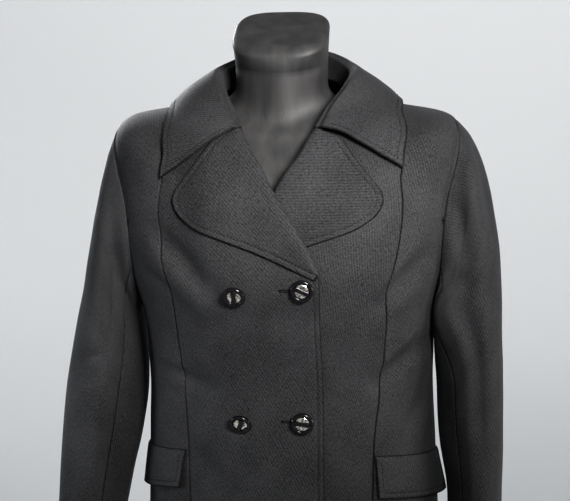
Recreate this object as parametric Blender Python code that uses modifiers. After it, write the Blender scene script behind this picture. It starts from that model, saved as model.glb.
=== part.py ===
"""A double-breasted coat on a limbless dress form with a round base.

Metres, +Z up. The front faces -Y, and +X is the wearer's left. The origin is the middle of the base's
underside.

Every piece of cloth is worked out from one surface, coat(turn, up): turn is the angle round the body from
the centre front towards the wearer's left, and up is the height along the side seam, which runs on past the
shoulder tip along the shoulder seam to the neck. A piece is a patch between four edges given as (turn, up).
"""
import math

import bmesh
import bpy
import numpy as np
from mathutils import Matrix

# ---------------------------------------------------------------- driving sizes
CLOTH = 0.0020  # wall of the twill with its lining
SEAM = 0.0003  # clear gap at a seam, on the outside
HEM_UP, ARMPIT_UP, SHOULDER_UP, YOKE_UP, NECK_UP = 0.600, 1.150, 1.385, 1.457, 1.526
SIDE_SEAM_TURN = math.radians(95)  # the side seam lies a little behind the widest line
LEAN = -0.0045  # the fronts wrap this far towards the wearer's right
LEAN_WIDTH = 0.12  # distance from the middle at which the wrap has died out
BUTTON_RADIUS = 0.0140
BUTTONS = (  # x, z
    (-0.0515, 1.1860),
    (0.0314, 1.1935),
    (-0.0497, 1.0235),
    (0.0265, 1.0250),
)
BASE_RADIUS, BASE_HEIGHT = 0.180, 0.018
POLE_RADIUS = 0.0160
FORM_FOOT = 0.740  # underside of the form
FORM_SHIFT = -0.006  # the form's neck stands a little to the wearer's right in the collar

# Girths of the coat, a row each, from the hem up: half width, depth in front and behind, squareness, and the
# height of the line at the centre front, at the side and at the centre back.
COAT_GIRTHS = (
    # line,       up,    half,  front, back,  power, z_front, z_side, z_back
    ("hem",       0.600, 0.202, 0.156, 0.156, 2.3, 0.600, 0.600, 0.600),
    ("thigh",     0.740, 0.190, 0.146, 0.148, 2.3, 0.740, 0.740, 0.740),
    ("hip",       0.870, 0.184, 0.137, 0.138, 2.4, 0.870, 0.870, 0.870),
    ("high hip",  0.960, 0.181, 0.130, 0.123, 2.4, 0.960, 0.960, 0.960),
    ("waist",     1.075, 0.179, 0.126, 0.104, 2.4, 1.075, 1.075, 1.075),
    ("armpit",    1.150, 0.187, 0.140, 0.112, 2.4, 1.150, 1.150, 1.150),
    ("bust",      1.205, 0.200, 0.148, 0.118, 2.4, 1.205, 1.205, 1.205),
    ("chest",     1.285, 0.210, 0.136, 0.120, 2.4, 1.285, 1.285, 1.285),
    ("shoulder",  1.385, 0.209, 0.104, 0.108, 2.3, 1.345, 1.385, 1.365),
    ("yoke",      1.457, 0.138, 0.082, 0.088, 2.2, 1.375, 1.4035, 1.405),
    ("neck",      1.526, 0.081, 0.060, 0.066, 2.0, 1.395, 1.421, 1.435),
)
# The form under it, on the same plan. It stands clear of the cloth all round.
FORM_GIRTHS = (
    # line,       up,    half,  front, back,  power, z_front, z_side, z_back
    ("foot",      0.740, 0.158, 0.105, 0.118, 2.2, 0.740, 0.740, 0.740),
    ("hip",       0.860, 0.167, 0.112, 0.122, 2.2, 0.860, 0.860, 0.860),
    ("high hip",  0.960, 0.158, 0.106, 0.104, 2.2, 0.960, 0.960, 0.960),
    ("waist",     1.065, 0.134, 0.092, 0.082, 2.2, 1.065, 1.065, 1.065),
    ("rib",       1.130, 0.146, 0.106, 0.088, 2.2, 1.130, 1.130, 1.130),
    ("bust",      1.210, 0.164, 0.128, 0.098, 2.3, 1.210, 1.210, 1.210),
    ("chest",     1.290, 0.184, 0.110, 0.102, 2.3, 1.285, 1.290, 1.290),
    ("shoulder",  1.372, 0.188, 0.084, 0.090, 2.2, 1.332, 1.372, 1.350),
    ("yoke",      1.450, 0.118, 0.062, 0.072, 2.1, 1.368, 1.4015, 1.392),
    ("neck foot", 1.520, 0.060, 0.048, 0.054, 2.0, 1.402, 1.422, 1.428),
    ("neck",      1.556, 0.058, 0.050, 0.052, 2.0, 1.446, 1.452, 1.456),
    ("neck bulge", 1.580, 0.059, 0.0545, 0.0535, 2.0, 1.466, 1.472, 1.480),
    ("neck rim",  1.600, 0.061, 0.050, 0.055, 2.0, 1.481, 1.488, 1.499),
    ("neck top",  1.616, 0.062, 0.042, 0.056, 2.0, 1.494, 1.502, 1.5145),
)
# Folds of the cloth, seen from straight ahead or from straight behind: a line from (x1, z1) to (x2, z2), the
# half width of the fold, and its height, below zero for a hollow.
FOLDS = (
    # place,              face,    x1,     z1,    x2,     z2,    width, height
    ("under lapel",      "front", -0.150, 1.258, -0.080, 1.196, 0.014, -0.0050),
    ("under lapel lip",  "front", -0.158, 1.232, -0.098, 1.178, 0.012, 0.0030),
    ("right waist",      "front", -0.140, 1.082, -0.085, 1.066, 0.012, -0.0032),
    ("right hip",        "front", -0.112, 0.984, -0.066, 0.926, 0.014, -0.0040),
    ("right skirt",      "front", -0.120, 0.900, -0.096, 0.640, 0.030, -0.0070),
    ("left chest",       "front", 0.128, 1.176, 0.172, 1.224, 0.012, -0.0050),
    ("left waist",       "front", 0.124, 1.074, 0.170, 1.112, 0.012, -0.0045),
    ("left side",        "front", 0.160, 1.000, 0.176, 1.050, 0.012, -0.0035),
    ("edge fold",        "front", 0.046, 0.952, 0.060, 0.700, 0.020, -0.0045),
    ("left skirt",       "front", 0.132, 0.900, 0.120, 0.640, 0.028, -0.0080),
    ("back waist left",  "back",  0.160, 1.105, 0.070, 1.080, 0.014, -0.0040),
    ("back waist right", "back", -0.165, 1.090, -0.080, 1.066, 0.013, -0.0035),
    ("back blade left",  "back",  0.150, 1.250, 0.110, 1.150, 0.018, -0.0040),
    ("back blade right", "back", -0.155, 1.240, -0.120, 1.140, 0.018, -0.0045),
    ("back flare left",  "back",  0.098, 0.900, 0.118, 0.630, 0.032, 0.0080),
    ("back flare right", "back", -0.085, 0.900, -0.108, 0.630, 0.030, 0.0090),
    ("back hollow",      "back",  0.004, 0.880, 0.010, 0.630, 0.030, -0.0080),
)


# ---------------------------------------------------------------- the surface of coat and form
def smooth(at, knots, values):
    """A cubic curve through the knots, with each knot's slope taken from its neighbours."""
    slopes = np.gradient(values, knots)
    row = np.clip(np.searchsorted(knots, at, side="right") - 1, 0, len(knots) - 2)
    step = knots[row + 1] - knots[row]
    t = (at - knots[row]) / step
    return (
        (2 * t**3 - 3 * t**2 + 1) * values[row]
        + (t**3 - 2 * t**2 + t) * step * slopes[row]
        + (3 * t**2 - 2 * t**3) * values[row + 1]
        + (t**3 - t**2) * step * slopes[row + 1]
    )


def ease(value, start, end):
    """0 before start, 1 after end, and a soft rise between them."""
    t = np.clip((np.asarray(value, float) - start) / (end - start), 0, 1)
    return t * t * (3 - 2 * t)


def girth(table, turn, up):
    """Points of the lofted surface: each line is a rounded box, its height eased from side to middle."""
    rows = np.array([row[1:] for row in table])
    half, front, back, power, z_front, z_side, z_back = (
        smooth(up, rows[:, 0], rows[:, column]) for column in range(1, rows.shape[1])
    )
    side, ahead = np.sin(turn), np.cos(turn)
    reach = (np.abs(side) ** power + np.abs(ahead) ** power) ** (-1 / power)
    depth = np.where(ahead > 0, front, back)
    z_middle = np.where(ahead > 0, z_front, z_back)
    return np.stack(
        [half * side * reach, -depth * ahead * reach, z_side + (z_middle - z_side) * ahead**2], axis=-1
    )


def outward(surface, u, v, step=1e-4):
    """Unit normal of surface(u, v) by small differences."""
    along = surface(u + step, v) - surface(u - step, v)
    rising = surface(u, v + step) - surface(u, v - step)
    normal = np.cross(along, rising)
    return normal / np.linalg.norm(normal, axis=-1, keepdims=True)


def fold_height(point):
    """Height of the folds at a point: a soft ridge or hollow round each line of FOLDS."""
    height = np.zeros(point.shape[:-1])
    for _, face, x1, z1, x2, z2, width, rise in FOLDS:
        run = np.array([x2 - x1, z2 - z1])
        from_start = point[..., [0, 2]] - np.array([x1, z1])
        along = np.clip(from_start @ run / (run @ run), 0, 1)
        away = np.linalg.norm(from_start - along[..., None] * run, axis=-1)
        on_face = ease(point[..., 1] * (-1 if face == "front" else 1), 0, 0.04)
        height += rise * np.exp(-((away / width) ** 2)) * (0.55 + 0.45 * np.sin(np.pi * along)) * on_face
    return height


def coat(turn, up, lift=0.0):
    """Points of the coat's outer face, moved out by lift along the normal."""
    turn, up = np.broadcast_arrays(np.asarray(turn, float), np.asarray(up, float))
    plain = girth(COAT_GIRTHS, turn, up)
    facing = outward(lambda u, v: girth(COAT_GIRTHS, u, v), turn, up)
    return plain + facing * (fold_height(plain) + lift)[..., None]


def spot(x, z):
    """(turn, up) of the point of the coat's front that lies at x, z, found by Newton's steps."""
    aim = np.stack(np.broadcast_arrays(np.asarray(x, float), np.asarray(z, float)), axis=-1)
    turn, up = np.arcsin(np.clip(aim[..., 0] / 0.24, -0.9, 0.9)), aim[..., 1].copy()
    step = 1e-5
    for _ in range(40):
        here = girth(COAT_GIRTHS, turn, up)[..., [0, 2]]
        by_turn = (girth(COAT_GIRTHS, turn + step, up)[..., [0, 2]] - here) / step
        by_up = (girth(COAT_GIRTHS, turn, up + step)[..., [0, 2]] - here) / step
        miss = aim - here
        area = by_turn[..., 0] * by_up[..., 1] - by_turn[..., 1] * by_up[..., 0]
        turn_step = (miss[..., 0] * by_up[..., 1] - miss[..., 1] * by_up[..., 0]) / area
        up_step = (by_turn[..., 0] * miss[..., 1] - by_turn[..., 1] * miss[..., 0]) / area
        turn, up = turn + np.clip(turn_step, -0.1, 0.1), up + np.clip(up_step, -0.02, 0.02)
    return np.stack([turn, up], axis=-1)


# ---------------------------------------------------------------- edges and patches in (turn, up)
def measured(side, rows):
    """(turn, up) of points measured as (distance from the middle towards this side, height)."""
    rows = np.array(rows)
    across = side * rows[:, 0] + LEAN * np.clip(1 - rows[:, 0] / LEAN_WIDTH, 0, 2)
    return spot(across, rows[:, 1])


def edge(points):
    """A curve through (turn, up) points as a function of 0 to 1, even in real length."""
    points = np.array(points)
    if len(points) > 2:
        gaps = np.linalg.norm(np.diff(girth(COAT_GIRTHS, *points.T), axis=0), axis=1)
        knots = np.concatenate([[0], np.cumsum(gaps)])
        fine = np.linspace(0, knots[-1], 400)
        points = np.stack([smooth(fine, knots, points[:, 0]), smooth(fine, knots, points[:, 1])], axis=-1)
    else:
        points = points[0] + np.linspace(0, 1, 400)[:, None] * (points[1] - points[0])
    gaps = np.linalg.norm(np.diff(girth(COAT_GIRTHS, *points.T), axis=0), axis=1)
    share = np.concatenate([[0], np.cumsum(gaps)]) / gaps.sum()
    return lambda t: np.stack([np.interp(t, share, points[:, 0]), np.interp(t, share, points[:, 1])], axis=-1)


def joined(*curves, shares):
    """Several curves one after another, each with its share of 0 to 1."""
    ends = np.cumsum((0, *shares)) / sum(shares)

    def whole(t):
        t = np.asarray(t, float)
        result = np.zeros(t.shape + (2,))
        for curve, start, end in zip(curves, ends[:-1], ends[1:]):
            inside = (t >= start) & (t <= end)
            result[inside] = curve((t[inside] - start) / (end - start))
        return result

    return whole


def patch(bottom, top, first, last, across, upward):
    """The (turn, up) grid of a Coons patch: across from first to last edge, upward from bottom to top."""
    u, t = np.meshgrid(across, upward)
    u1, t1 = u[..., None], t[..., None]
    corners = [bottom(np.array([0.0, 1.0])), top(np.array([0.0, 1.0]))]
    flat = (
        (1 - u1) * (1 - t1) * corners[0][0]
        + u1 * (1 - t1) * corners[0][1]
        + (1 - u1) * t1 * corners[1][0]
        + u1 * t1 * corners[1][1]
    )
    return (1 - t1) * bottom(u) + t1 * top(u) + (1 - u1) * first(t) + u1 * last(t) - flat


def drawn_in(grid, first=0.0, last=0.0, top=0.0):
    """The same grid with its side edges and its top edge moved in by so many metres."""
    place = girth(COAT_GIRTHS, grid[..., 0], grid[..., 1])
    moved = grid.copy()
    every_row = slice(None)
    edges = (((every_row, 0), (every_row, 1), first), ((every_row, -1), (every_row, -2), last), (-1, -2, top))
    for rim, inside, gap in edges:
        if gap:
            room = np.linalg.norm(place[inside] - place[rim], axis=-1, keepdims=True)
            moved[rim] += np.minimum(gap / room, 0.5) * (moved[inside] - moved[rim])
    return moved


# ---------------------------------------------------------------- meshes
def collection(name):
    made = bpy.data.collections.new(name)
    bpy.context.scene.collection.children.link(made)
    return made


def material(name, colour, roughness, metallic=0.0):
    made = bpy.data.materials.new(name)
    made.use_nodes = True
    shader = made.node_tree.nodes["Principled BSDF"]
    shader.inputs["Base Color"].default_value = (*colour, 1)
    shader.inputs["Roughness"].default_value = roughness
    shader.inputs["Metallic"].default_value = metallic
    return made


def finished(name, mesh, finish):
    """An object from a mesh, round pieces shaded smooth, in the coat's collection."""
    mesh.shade_smooth()
    mesh.set_sharp_from_angle(angle=math.radians(50))
    mesh.materials.append(finish)
    made = bpy.data.objects.new(name, mesh)
    PARTS.objects.link(made)
    return made


def wall(name, outer, inner, finish, ring=False):
    """A closed wall between two grids of points of the same size; ring joins the last column to the first."""
    rows, columns = outer.shape[:2]
    number = np.arange(rows * columns).reshape(rows, columns)
    if ring:
        number = np.hstack([number, number[:, :1]])
    a, b, c, d = number[:-1, :-1], number[:-1, 1:], number[1:, 1:], number[1:, :-1]
    skin = np.stack([a, b, c, d], axis=-1).reshape(-1, 4)
    under = rows * columns
    rims = [number[0], number[-1][::-1]]
    if not ring:
        rims += [number[:, -1], number[:, 0][::-1]]
    faces = [skin, skin[:, ::-1] + under]
    for rim in rims:
        start, end = rim[:-1], rim[1:]
        faces.append(np.stack([end, start, start + under, end + under], axis=-1))
    mesh = bpy.data.meshes.new(name)
    points = np.concatenate([outer.reshape(-1, 3), inner.reshape(-1, 3)])
    mesh.from_pydata(points.tolist(), [], np.concatenate(faces).tolist())
    level = bmesh.new()
    level.from_mesh(mesh)
    bmesh.ops.recalc_face_normals(level, faces=level.faces)
    level.to_mesh(mesh)
    level.free()
    mesh.update()
    return finished(name, mesh, finish)


def panel(name, grid, finish, lift=0.0):
    """A panel of the coat: the wall between its outer face and CLOTH below it."""
    turn, up = grid[..., 0], grid[..., 1]
    return wall(name, coat(turn, up, lift), coat(turn, up, lift - CLOTH), finish)


def grid_normals(points):
    """Unit normals of a grid of points, from the rows and columns next to each."""
    normal = np.cross(np.gradient(points, axis=1), np.gradient(points, axis=0))
    return normal / np.linalg.norm(normal, axis=-1, keepdims=True)


def thick(name, outer, finish, flip=False):
    """A wall whose inner face lies CLOTH below a grid of outer points."""
    normal = grid_normals(outer) * (-1 if flip else 1)
    return wall(name, outer, outer - CLOTH * normal, finish)


# ---------------------------------------------------------------- where the coat is cut
# Distances from the middle front and heights, on either side alike.
ROLL_LINE = (
    (-0.0585, 1.209), (-0.028, 1.2625), (0.0015, 1.3040), (0.025, 1.340), (0.0455, 1.3735), (0.060, 1.397),
)
FRONT_EDGE = ((-0.0585, 0.600), (-0.0585, 0.900), (-0.0585, 1.100), (-0.0585, 1.209))
PRINCESS = (  # the third column shifts the seams of both sides towards the wearer's left
    (0.128, 0.600, -0.0030), (0.120, 0.800, -0.0030), (0.115, 0.930, -0.0030), (0.116, 0.990, -0.0030),
    (0.123, 1.073, -0.0010), (0.129, 1.140, 0.0), (0.134, 1.195, 0.0), (0.146, 1.246, 0.0),
    (0.150, 1.293, 0.0), (0.148, 1.330, 0.0),
)
LAPEL_EDGE = (
    (-0.0580, 1.2045), (-0.032, 1.2165), (0.008, 1.2340), (0.0335, 1.2435), (0.056, 1.251), (0.074, 1.257),
    (0.090, 1.2625), (0.106, 1.2715), (0.1205, 1.284), (0.1265, 1.299), (0.1225, 1.311), (0.112, 1.3235),
    (0.0925, 1.347), (0.0720, 1.3700),
)
GORGE_Z = 1.3735
COLLAR_FRONT = ((0.0720, 1.3725), (0.0960, 1.3605), (0.1200, 1.3455), (0.1465, 1.3285))  # notch to tip
ARMHOLE_FRONT, ARMHOLE_BACK = math.radians(18), math.radians(22)
ARMHOLE_STEPS = 12  # facets along each half of the armhole, shared by the sleeve
SIDE_STEPS = 15  # facets along the side seam
ROWS = np.linspace(0, 1, SIDE_STEPS + ARMHOLE_STEPS + 1)
ARMHOLE_MIDDLE = (ARMPIT_UP + SHOULDER_UP) / 2
ARMHOLE_HALF = (SHOULDER_UP - ARMPIT_UP) / 2
QUARTER = math.pi / 2


def armhole(side, angle):
    """(turn, up) round the armhole: 0 is its foremost point, a quarter turn the shoulder tip."""
    angle = np.asarray(angle, float)
    ahead = np.cos(angle)
    width = np.where(ahead > 0, ARMHOLE_FRONT, ARMHOLE_BACK)
    scoop = np.abs(ahead) ** 0.9 * np.sign(ahead)
    return np.stack(
        [side * (QUARTER - width * scoop), ARMHOLE_MIDDLE + ARMHOLE_HALF * np.sin(angle)], axis=-1
    )


def armhole_edge(side, start, end):
    return lambda t: armhole(side, start + (end - start) * np.asarray(t, float))


def side_seam(side):
    low = side * SIDE_SEAM_TURN
    return edge([(low, HEM_UP), (low, 0.9), (side * math.radians(94), 1.05), (side * QUARTER, ARMPIT_UP)])


def side_edge(side, armhole_start):
    """The side seam and, above it, one half of the armhole up to the shoulder tip."""
    half_hole = armhole_edge(side, armhole_start, QUARTER)
    return joined(side_seam(side), half_hole, shares=(SIDE_STEPS, ARMHOLE_STEPS))


def princess(side):
    """The seam from the hem over the bust to the middle of the shoulder seam."""
    above = [(side * math.radians(44), 1.398), (side * math.radians(60), 1.437), (side * QUARTER, YOKE_UP)]
    return edge([*measured(side, [(away + side * shift, z) for away, z, shift in PRINCESS]), *above])


def neckline(side):
    """The roll line from the break up, and on round the neck to the shoulder seam."""
    return edge([*measured(side, ROLL_LINE), (side * math.radians(62), 1.521), (side * QUARTER, NECK_UP)])


# ---------------------------------------------------------------- the panels
def overlap_lift(turn, up):
    """How far the upper front is raised where it lies over the lower one and over the lower lapel."""
    place = girth(COAT_GIRTHS, turn, up)
    near_edge = ease(place[..., 0], -0.125, -0.078)
    over_lapel = ease(place[..., 2], 1.150, 1.195) * (1 - ease(place[..., 2], 1.325, 1.385))
    fade_up = 1 - ease(place[..., 2], 1.33, 1.39)
    return near_edge * (0.0036 * fade_up + 0.0052 * over_lapel)


def front(side, name, finish):
    """The centre front, from its edge and roll line to the princess seam. The wearer's right lies on top."""
    inner = joined(edge(measured(side, FRONT_EDGE)), neckline(side), shares=(17, 12))
    outer = princess(side)
    bottom = edge([inner(np.array([0.0]))[0], outer(np.array([0.0]))[0]])
    top = edge([(side * QUARTER, NECK_UP), (side * QUARTER, YOKE_UP)])
    grid = patch(bottom, top, inner, outer, np.linspace(0, 1, 9), ROWS)
    grid = drawn_in(grid, last=SEAM, top=SEAM)
    lift = overlap_lift(grid[..., 0], grid[..., 1]) if side < 0 else 0.0
    return panel(name, grid, finish, lift)


def side_front(side, name, finish):
    """From the princess seam to the side seam and the front of the armhole."""
    inner = princess(side)
    outer = side_edge(side, -QUARTER)
    bottom = edge([inner(np.array([0.0]))[0], outer(np.array([0.0]))[0]])
    top = edge([(side * QUARTER, YOKE_UP), (side * QUARTER, SHOULDER_UP)])
    grid = patch(bottom, top, inner, outer, np.linspace(0, 1, 7), ROWS)
    grid = drawn_in(grid, first=SEAM, last=SEAM, top=SEAM)
    return panel(name, grid, finish)


def back(side, name, finish):
    """From the centre back seam to the side seam, the back of the armhole and the shoulder seam."""
    inner = edge([(side * math.pi, HEM_UP), (side * math.pi, 1.0), (side * math.pi, NECK_UP)])
    outer = side_edge(side, 3 * QUARTER)
    bottom = edge([(side * math.pi, HEM_UP), outer(np.array([0.0]))[0]])
    neck = edge([(side * math.pi, NECK_UP), (side * QUARTER, NECK_UP)])
    shoulder = edge([(side * QUARTER, NECK_UP), (side * QUARTER, SHOULDER_UP)])
    top = joined(neck, shoulder, shares=(5, 6))
    grid = patch(bottom, top, inner, outer, np.linspace(0, 1, 12), ROWS)
    grid = drawn_in(grid, first=SEAM / 2, last=SEAM, top=SEAM)
    return panel(name, grid, finish)


# ---------------------------------------------------------------- lapels and collar
GORGE_GAP = 0.0014  # room between the lapel's upper edge and the collar


def gorge_share(side):
    """The share of the neckline at which the collar meets the lapel."""
    shares = np.linspace(0, 1, 1000)
    line = neckline(side)(shares)
    return shares[np.argmin(np.abs(girth(COAT_GIRTHS, line[:, 0], line[:, 1])[:, 2] - GORGE_Z))]


def lapel(side, name, finish):
    """The turned-back front: it wraps the roll line and lies on the panel, from the break up to the gorge."""
    whole_roll, share = neckline(side), gorge_share(side)
    brim = edge(measured(side, LAPEL_EDGE))
    # across the lapel: share of its width, way past the roll line, and height over the panel
    section = np.array([
        (0.00, -0.0044, -0.0015), (0.00, -0.0042, 0.0022), (0.00, -0.0014, 0.0054), (0.05, 0.0, 0.0064),
        (0.16, 0.0, 0.0064), (0.32, 0.0, 0.0054), (0.50, 0.0, 0.0046), (0.68, 0.0, 0.0041),
        (0.84, 0.0, 0.0037), (1.00, 0.0, 0.0034),
    ])
    t = np.linspace(0.02, 1, 20)
    pressed = 1.0 if side < 0 else (0.72 + 0.28 * ease(t, 0.5, 0.75))[:, None]  # the lower lapel lies flatter
    roll = whole_roll(t * share)
    start, end = roll[:, None, :], brim(t)[:, None, :]
    grid = drawn_in(start + section[:, 0][None, :, None] * (end - start), top=GORGE_GAP)
    base = overlap_lift(grid[..., 0], grid[..., 1]) if side < 0 else 0.0
    points = coat(grid[..., 0], grid[..., 1], base + section[:, 2] * pressed)
    outline = girth(COAT_GIRTHS, roll[:, 0], roll[:, 1])
    width = girth(COAT_GIRTHS, brim(t)[:, 0], brim(t)[:, 1]) - outline
    reach = np.linalg.norm(width, axis=-1, keepdims=True)
    points += section[:, 1][None, :, None] * (width / reach)[:, None, :]
    return thick(name, points, finish, flip=side < 0)


def collar(name, finish):
    """Stand and fall in one: up from the neck seam, over the fold and out to the edge on the shoulders."""
    def inner(t):
        left, right = neckline(1), neckline(-1)
        gorge = gorge_share(1)
        t = np.asarray(t, float)
        around = np.clip((t - 0.24) / 0.52, 0, 1)
        behind = np.stack([QUARTER + around * math.pi, np.full(t.shape, NECK_UP)], axis=-1)
        ahead = left(gorge + (1 - gorge) * np.clip(t / 0.24, 0, 1))
        other = right(gorge + (1 - gorge) * np.clip((1 - t) / 0.24, 0, 1)) + np.array([2 * math.pi, 0])
        return np.where((t < 0.24)[..., None], ahead, np.where((t > 0.76)[..., None], other, behind))

    round_body = np.array([2 * math.pi, 0])
    ahead, other_ahead = measured(1, COLLAR_FRONT), measured(-1, COLLAR_FRONT) + round_body
    tip, other_tip = ahead[-1], other_ahead[-1]
    over = [(46, 1.398), (61, 1.438), (90, 1.4520), (120, 1.448), (150, 1.439), (180, 1.435)]
    half = [(math.radians(turn), up) for turn, up in over]
    mirrored = [(2 * math.pi - turn, up) for turn, up in half[-2::-1]]
    outer = edge([tip, *half, *mirrored, other_tip])
    ends = [inner(np.array([0.0]))[0], inner(np.array([1.0]))[0]]
    first, last = edge([ends[0], *ahead]), edge([ends[1], *other_ahead])
    # across the collar: share of the fall, way out from the neck seam, and share of the stand's height
    section = np.array([
        (0.00, -0.0046, -0.06), (0.00, -0.0046, 0.45), (0.00, -0.0036, 0.86), (0.00, -0.0004, 1.00),
        (0.05, 0.0020, 0.99), (0.14, 0.0020, 0.95), (0.28, 0.0010, 0.84), (0.46, 0.0, 0.69),
        (0.66, 0.0, 0.48), (0.84, 0.0, 0.25), (1.00, 0.0, 0.04),
    ])
    t = np.linspace(0, 1, 37)
    u, v = np.meshgrid(section[:, 0], t)
    u1, v1 = u[..., None], v[..., None]
    flat = (1 - u1) * (1 - v1) * ends[0] + (1 - u1) * v1 * ends[1] + u1 * (1 - v1) * tip + u1 * v1 * other_tip
    grid = (1 - u1) * inner(v) + u1 * outer(v) + (1 - v1) * first(u) + v1 * last(u) - flat
    around = np.abs(2 * t - 1)  # 0 at the centre back, 1 at the front ends
    stand = 0.0060 + 0.0200 * (1 - ease(around, 0.42, 0.98)) + 0.0110 * (1 - ease(around, 0.0, 0.5))
    lift = 0.0040 * np.ones_like(stand)
    points = coat(grid[..., 0], grid[..., 1], np.where(u > 0, lift[:, None], 0.0))
    seam = coat(inner(t)[:, 0], inner(t)[:, 1])
    out = coat(outer(t)[:, 0], outer(t)[:, 1]) - seam
    out /= np.linalg.norm(out, axis=-1, keepdims=True)
    facing = outward(lambda a, b: girth(COAT_GIRTHS, a, b), inner(t)[:, 0], inner(t)[:, 1])
    level = ease(around, 0.35, 0.95)[:, None]
    rise = level * facing + (1 - level) * np.array([0, 0, 1.0])
    rise /= np.linalg.norm(rise, axis=-1, keepdims=True)
    points += section[:, 1][None, :, None] * out[:, None, :]
    points += (stand[:, None] * section[:, 2][None, :])[..., None] * rise[:, None, :]
    return thick(name, points, finish)


# ---------------------------------------------------------------- sleeves
# Where the outer and the inner line of each sleeve pass, and the half depth and middle of the section there.
SLEEVES = {
    1: (
        # outer_x, outer_z, inner_x, inner_z, half_depth, mid_y
        (0.2100, 1.3850, 0.1880, 1.1500, 0.056, -0.004),
        (0.2300, 1.3610, 0.1930, 1.1370, 0.064, -0.005),
        (0.2450, 1.3270, 0.1915, 1.1180, 0.070, -0.006),
        (0.2570, 1.2750, 0.1890, 1.0930, 0.073, -0.007),
        (0.2655, 1.2070, 0.1870, 1.0630, 0.074, -0.008),
        (0.2675, 1.1240, 0.1865, 1.0240, 0.072, -0.010),
        (0.2675, 1.0350, 0.1900, 0.9750, 0.068, -0.014),
        (0.2670, 0.9450, 0.2000, 0.9150, 0.065, -0.020),
        (0.2655, 0.8600, 0.2000, 0.8500, 0.062, -0.027),
        (0.2635, 0.7950, 0.2020, 0.7950, 0.060, -0.033),
    ),
    -1: (
        (0.2100, 1.3850, 0.1880, 1.1500, 0.056, -0.004),
        (0.2180, 1.3520, 0.1930, 1.1370, 0.064, -0.005),
        (0.2285, 1.3080, 0.1915, 1.1170, 0.070, -0.006),
        (0.2410, 1.2440, 0.1895, 1.0900, 0.073, -0.007),
        (0.2600, 1.1760, 0.1885, 1.0580, 0.074, -0.008),
        (0.2775, 1.1050, 0.1905, 1.0180, 0.072, -0.010),
        (0.2890, 1.0250, 0.1990, 0.9700, 0.068, -0.014),
        (0.2975, 0.9400, 0.2120, 0.9150, 0.065, -0.020),
        (0.3045, 0.8600, 0.2250, 0.8500, 0.062, -0.027),
        (0.3090, 0.7950, 0.2330, 0.7950, 0.060, -0.033),
    ),
}
SLEEVE_FRONT_SEAM = math.radians(-30)
SLEEVE_BACK_SEAM = math.radians(210)
SLEEVE_SEAM = 0.0070  # half the gap at a sleeve seam, in radians round the sleeve
HEAD_BLEND = 0.30  # the head follows the armhole's own shape over this share of the sleeve


def sleeve_point(side, angle, down, lift=0.0):
    """Points of a sleeve: angle round it as round the armhole, down from 0 there to 1 at the cuff."""
    rows = np.array(SLEEVES[side])
    knots = np.linspace(0, 1, len(rows))

    def plain(a, w):
        outer_x, outer_z, inner_x, inner_z, depth, mid_y = (smooth(w, knots, rows[:, k]) for k in range(6))
        rise, ahead = np.sin(a), np.cos(a)
        reach = (np.abs(rise) ** 2.3 + np.abs(ahead) ** 2.3) ** (-1 / 2.3)
        middle_x, middle_z = (outer_x + inner_x) / 2, (outer_z + inner_z) / 2
        x = side * (middle_x + (outer_x - inner_x) / 2 * rise * reach)
        z = middle_z + (outer_z - inner_z) / 2 * rise * reach
        return np.stack([x, mid_y - depth * ahead * reach, z], axis=-1)

    def headed(a, w):
        hole = armhole(side, a)
        start = girth(COAT_GIRTHS, hole[..., 0], hole[..., 1]) + np.array([side * 0.0008, 0, 0])
        fade = (1 - ease(w, 0, HEAD_BLEND))[..., None]
        return plain(a, w) + (start - plain(a, np.zeros_like(w))) * fade

    angle, down = np.broadcast_arrays(np.asarray(angle, float), np.asarray(down, float))
    facing = outward(headed, angle, down) * -side
    facing[..., 0] *= ease(down, -0.001, 0.06)  # the head's raw edge stands square to the armhole
    facing /= np.linalg.norm(facing, axis=-1, keepdims=True)
    return headed(angle, down) + facing * np.asarray(lift)[..., None]


def sleeve(side, name, start, end, finish):
    """Part of a sleeve between two of its seams, in the facets of the armhole."""
    angles = np.linspace(start, end, round((end - start) / math.pi * ARMHOLE_STEPS) + 1)
    angles[0] += SLEEVE_SEAM
    angles[-1] -= SLEEVE_SEAM
    angle, down = np.meshgrid(angles, np.linspace(0, 1, 16))
    outer, inner = sleeve_point(side, angle, down), sleeve_point(side, angle, down, -CLOTH)
    return wall(name, outer, inner, finish)


# ---------------------------------------------------------------- pockets and buttons
FLAPS = {  # side: the four corners as (turn in degrees, up), from the princess seam to the side seam
    1: ((35.9, 0.9795), (91, 0.9620), (36.8, 0.9265), (92, 0.9060)),
    -1: ((38.9, 0.9830), (91, 0.9680), (41.2, 0.9345), (92, 0.9120)),
}


def flap(side, name, finish):
    """A pocket flap on the side front: its foot stands off the cloth, most of all at the back corner."""
    corners = [(side * math.radians(turn), up) for turn, up in FLAPS[side]]
    top, foot = edge(corners[:2]), edge(corners[2:])
    u, t = np.meshgrid(np.linspace(0, 1, 10), np.linspace(0, 1, 4))
    grid = (1 - t[..., None]) * top(u) + t[..., None] * foot(u)
    lift = CLOTH + 0.0006 + 0.0035 * t + (0.0055 if side > 0 else 0.0030) * t * ease(u, 0.5, 1.0)
    turn, up = grid[..., 0], grid[..., 1]
    return wall(name, coat(turn, up, lift), coat(turn, up, lift - CLOTH), finish)


def turned(name, profile, steps, finish):
    """A solid of revolution round Z from an outline of (radius, height) that starts and ends on the axis."""
    mesh = bpy.data.meshes.new(name)
    points = [(radius, 0, height) for radius, height in profile]
    mesh.from_pydata(points, [(i, i + 1) for i in range(len(points) - 1)], [])
    made = bpy.data.objects.new(name, mesh)
    mesh.materials.append(finish)
    PARTS.objects.link(made)
    spin = made.modifiers.new("Turn", "SCREW")
    spin.angle = 2 * math.pi
    spin.steps = spin.render_steps = steps
    spin.use_merge_vertices = True
    spin.merge_threshold = 0.00001
    return made


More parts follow.
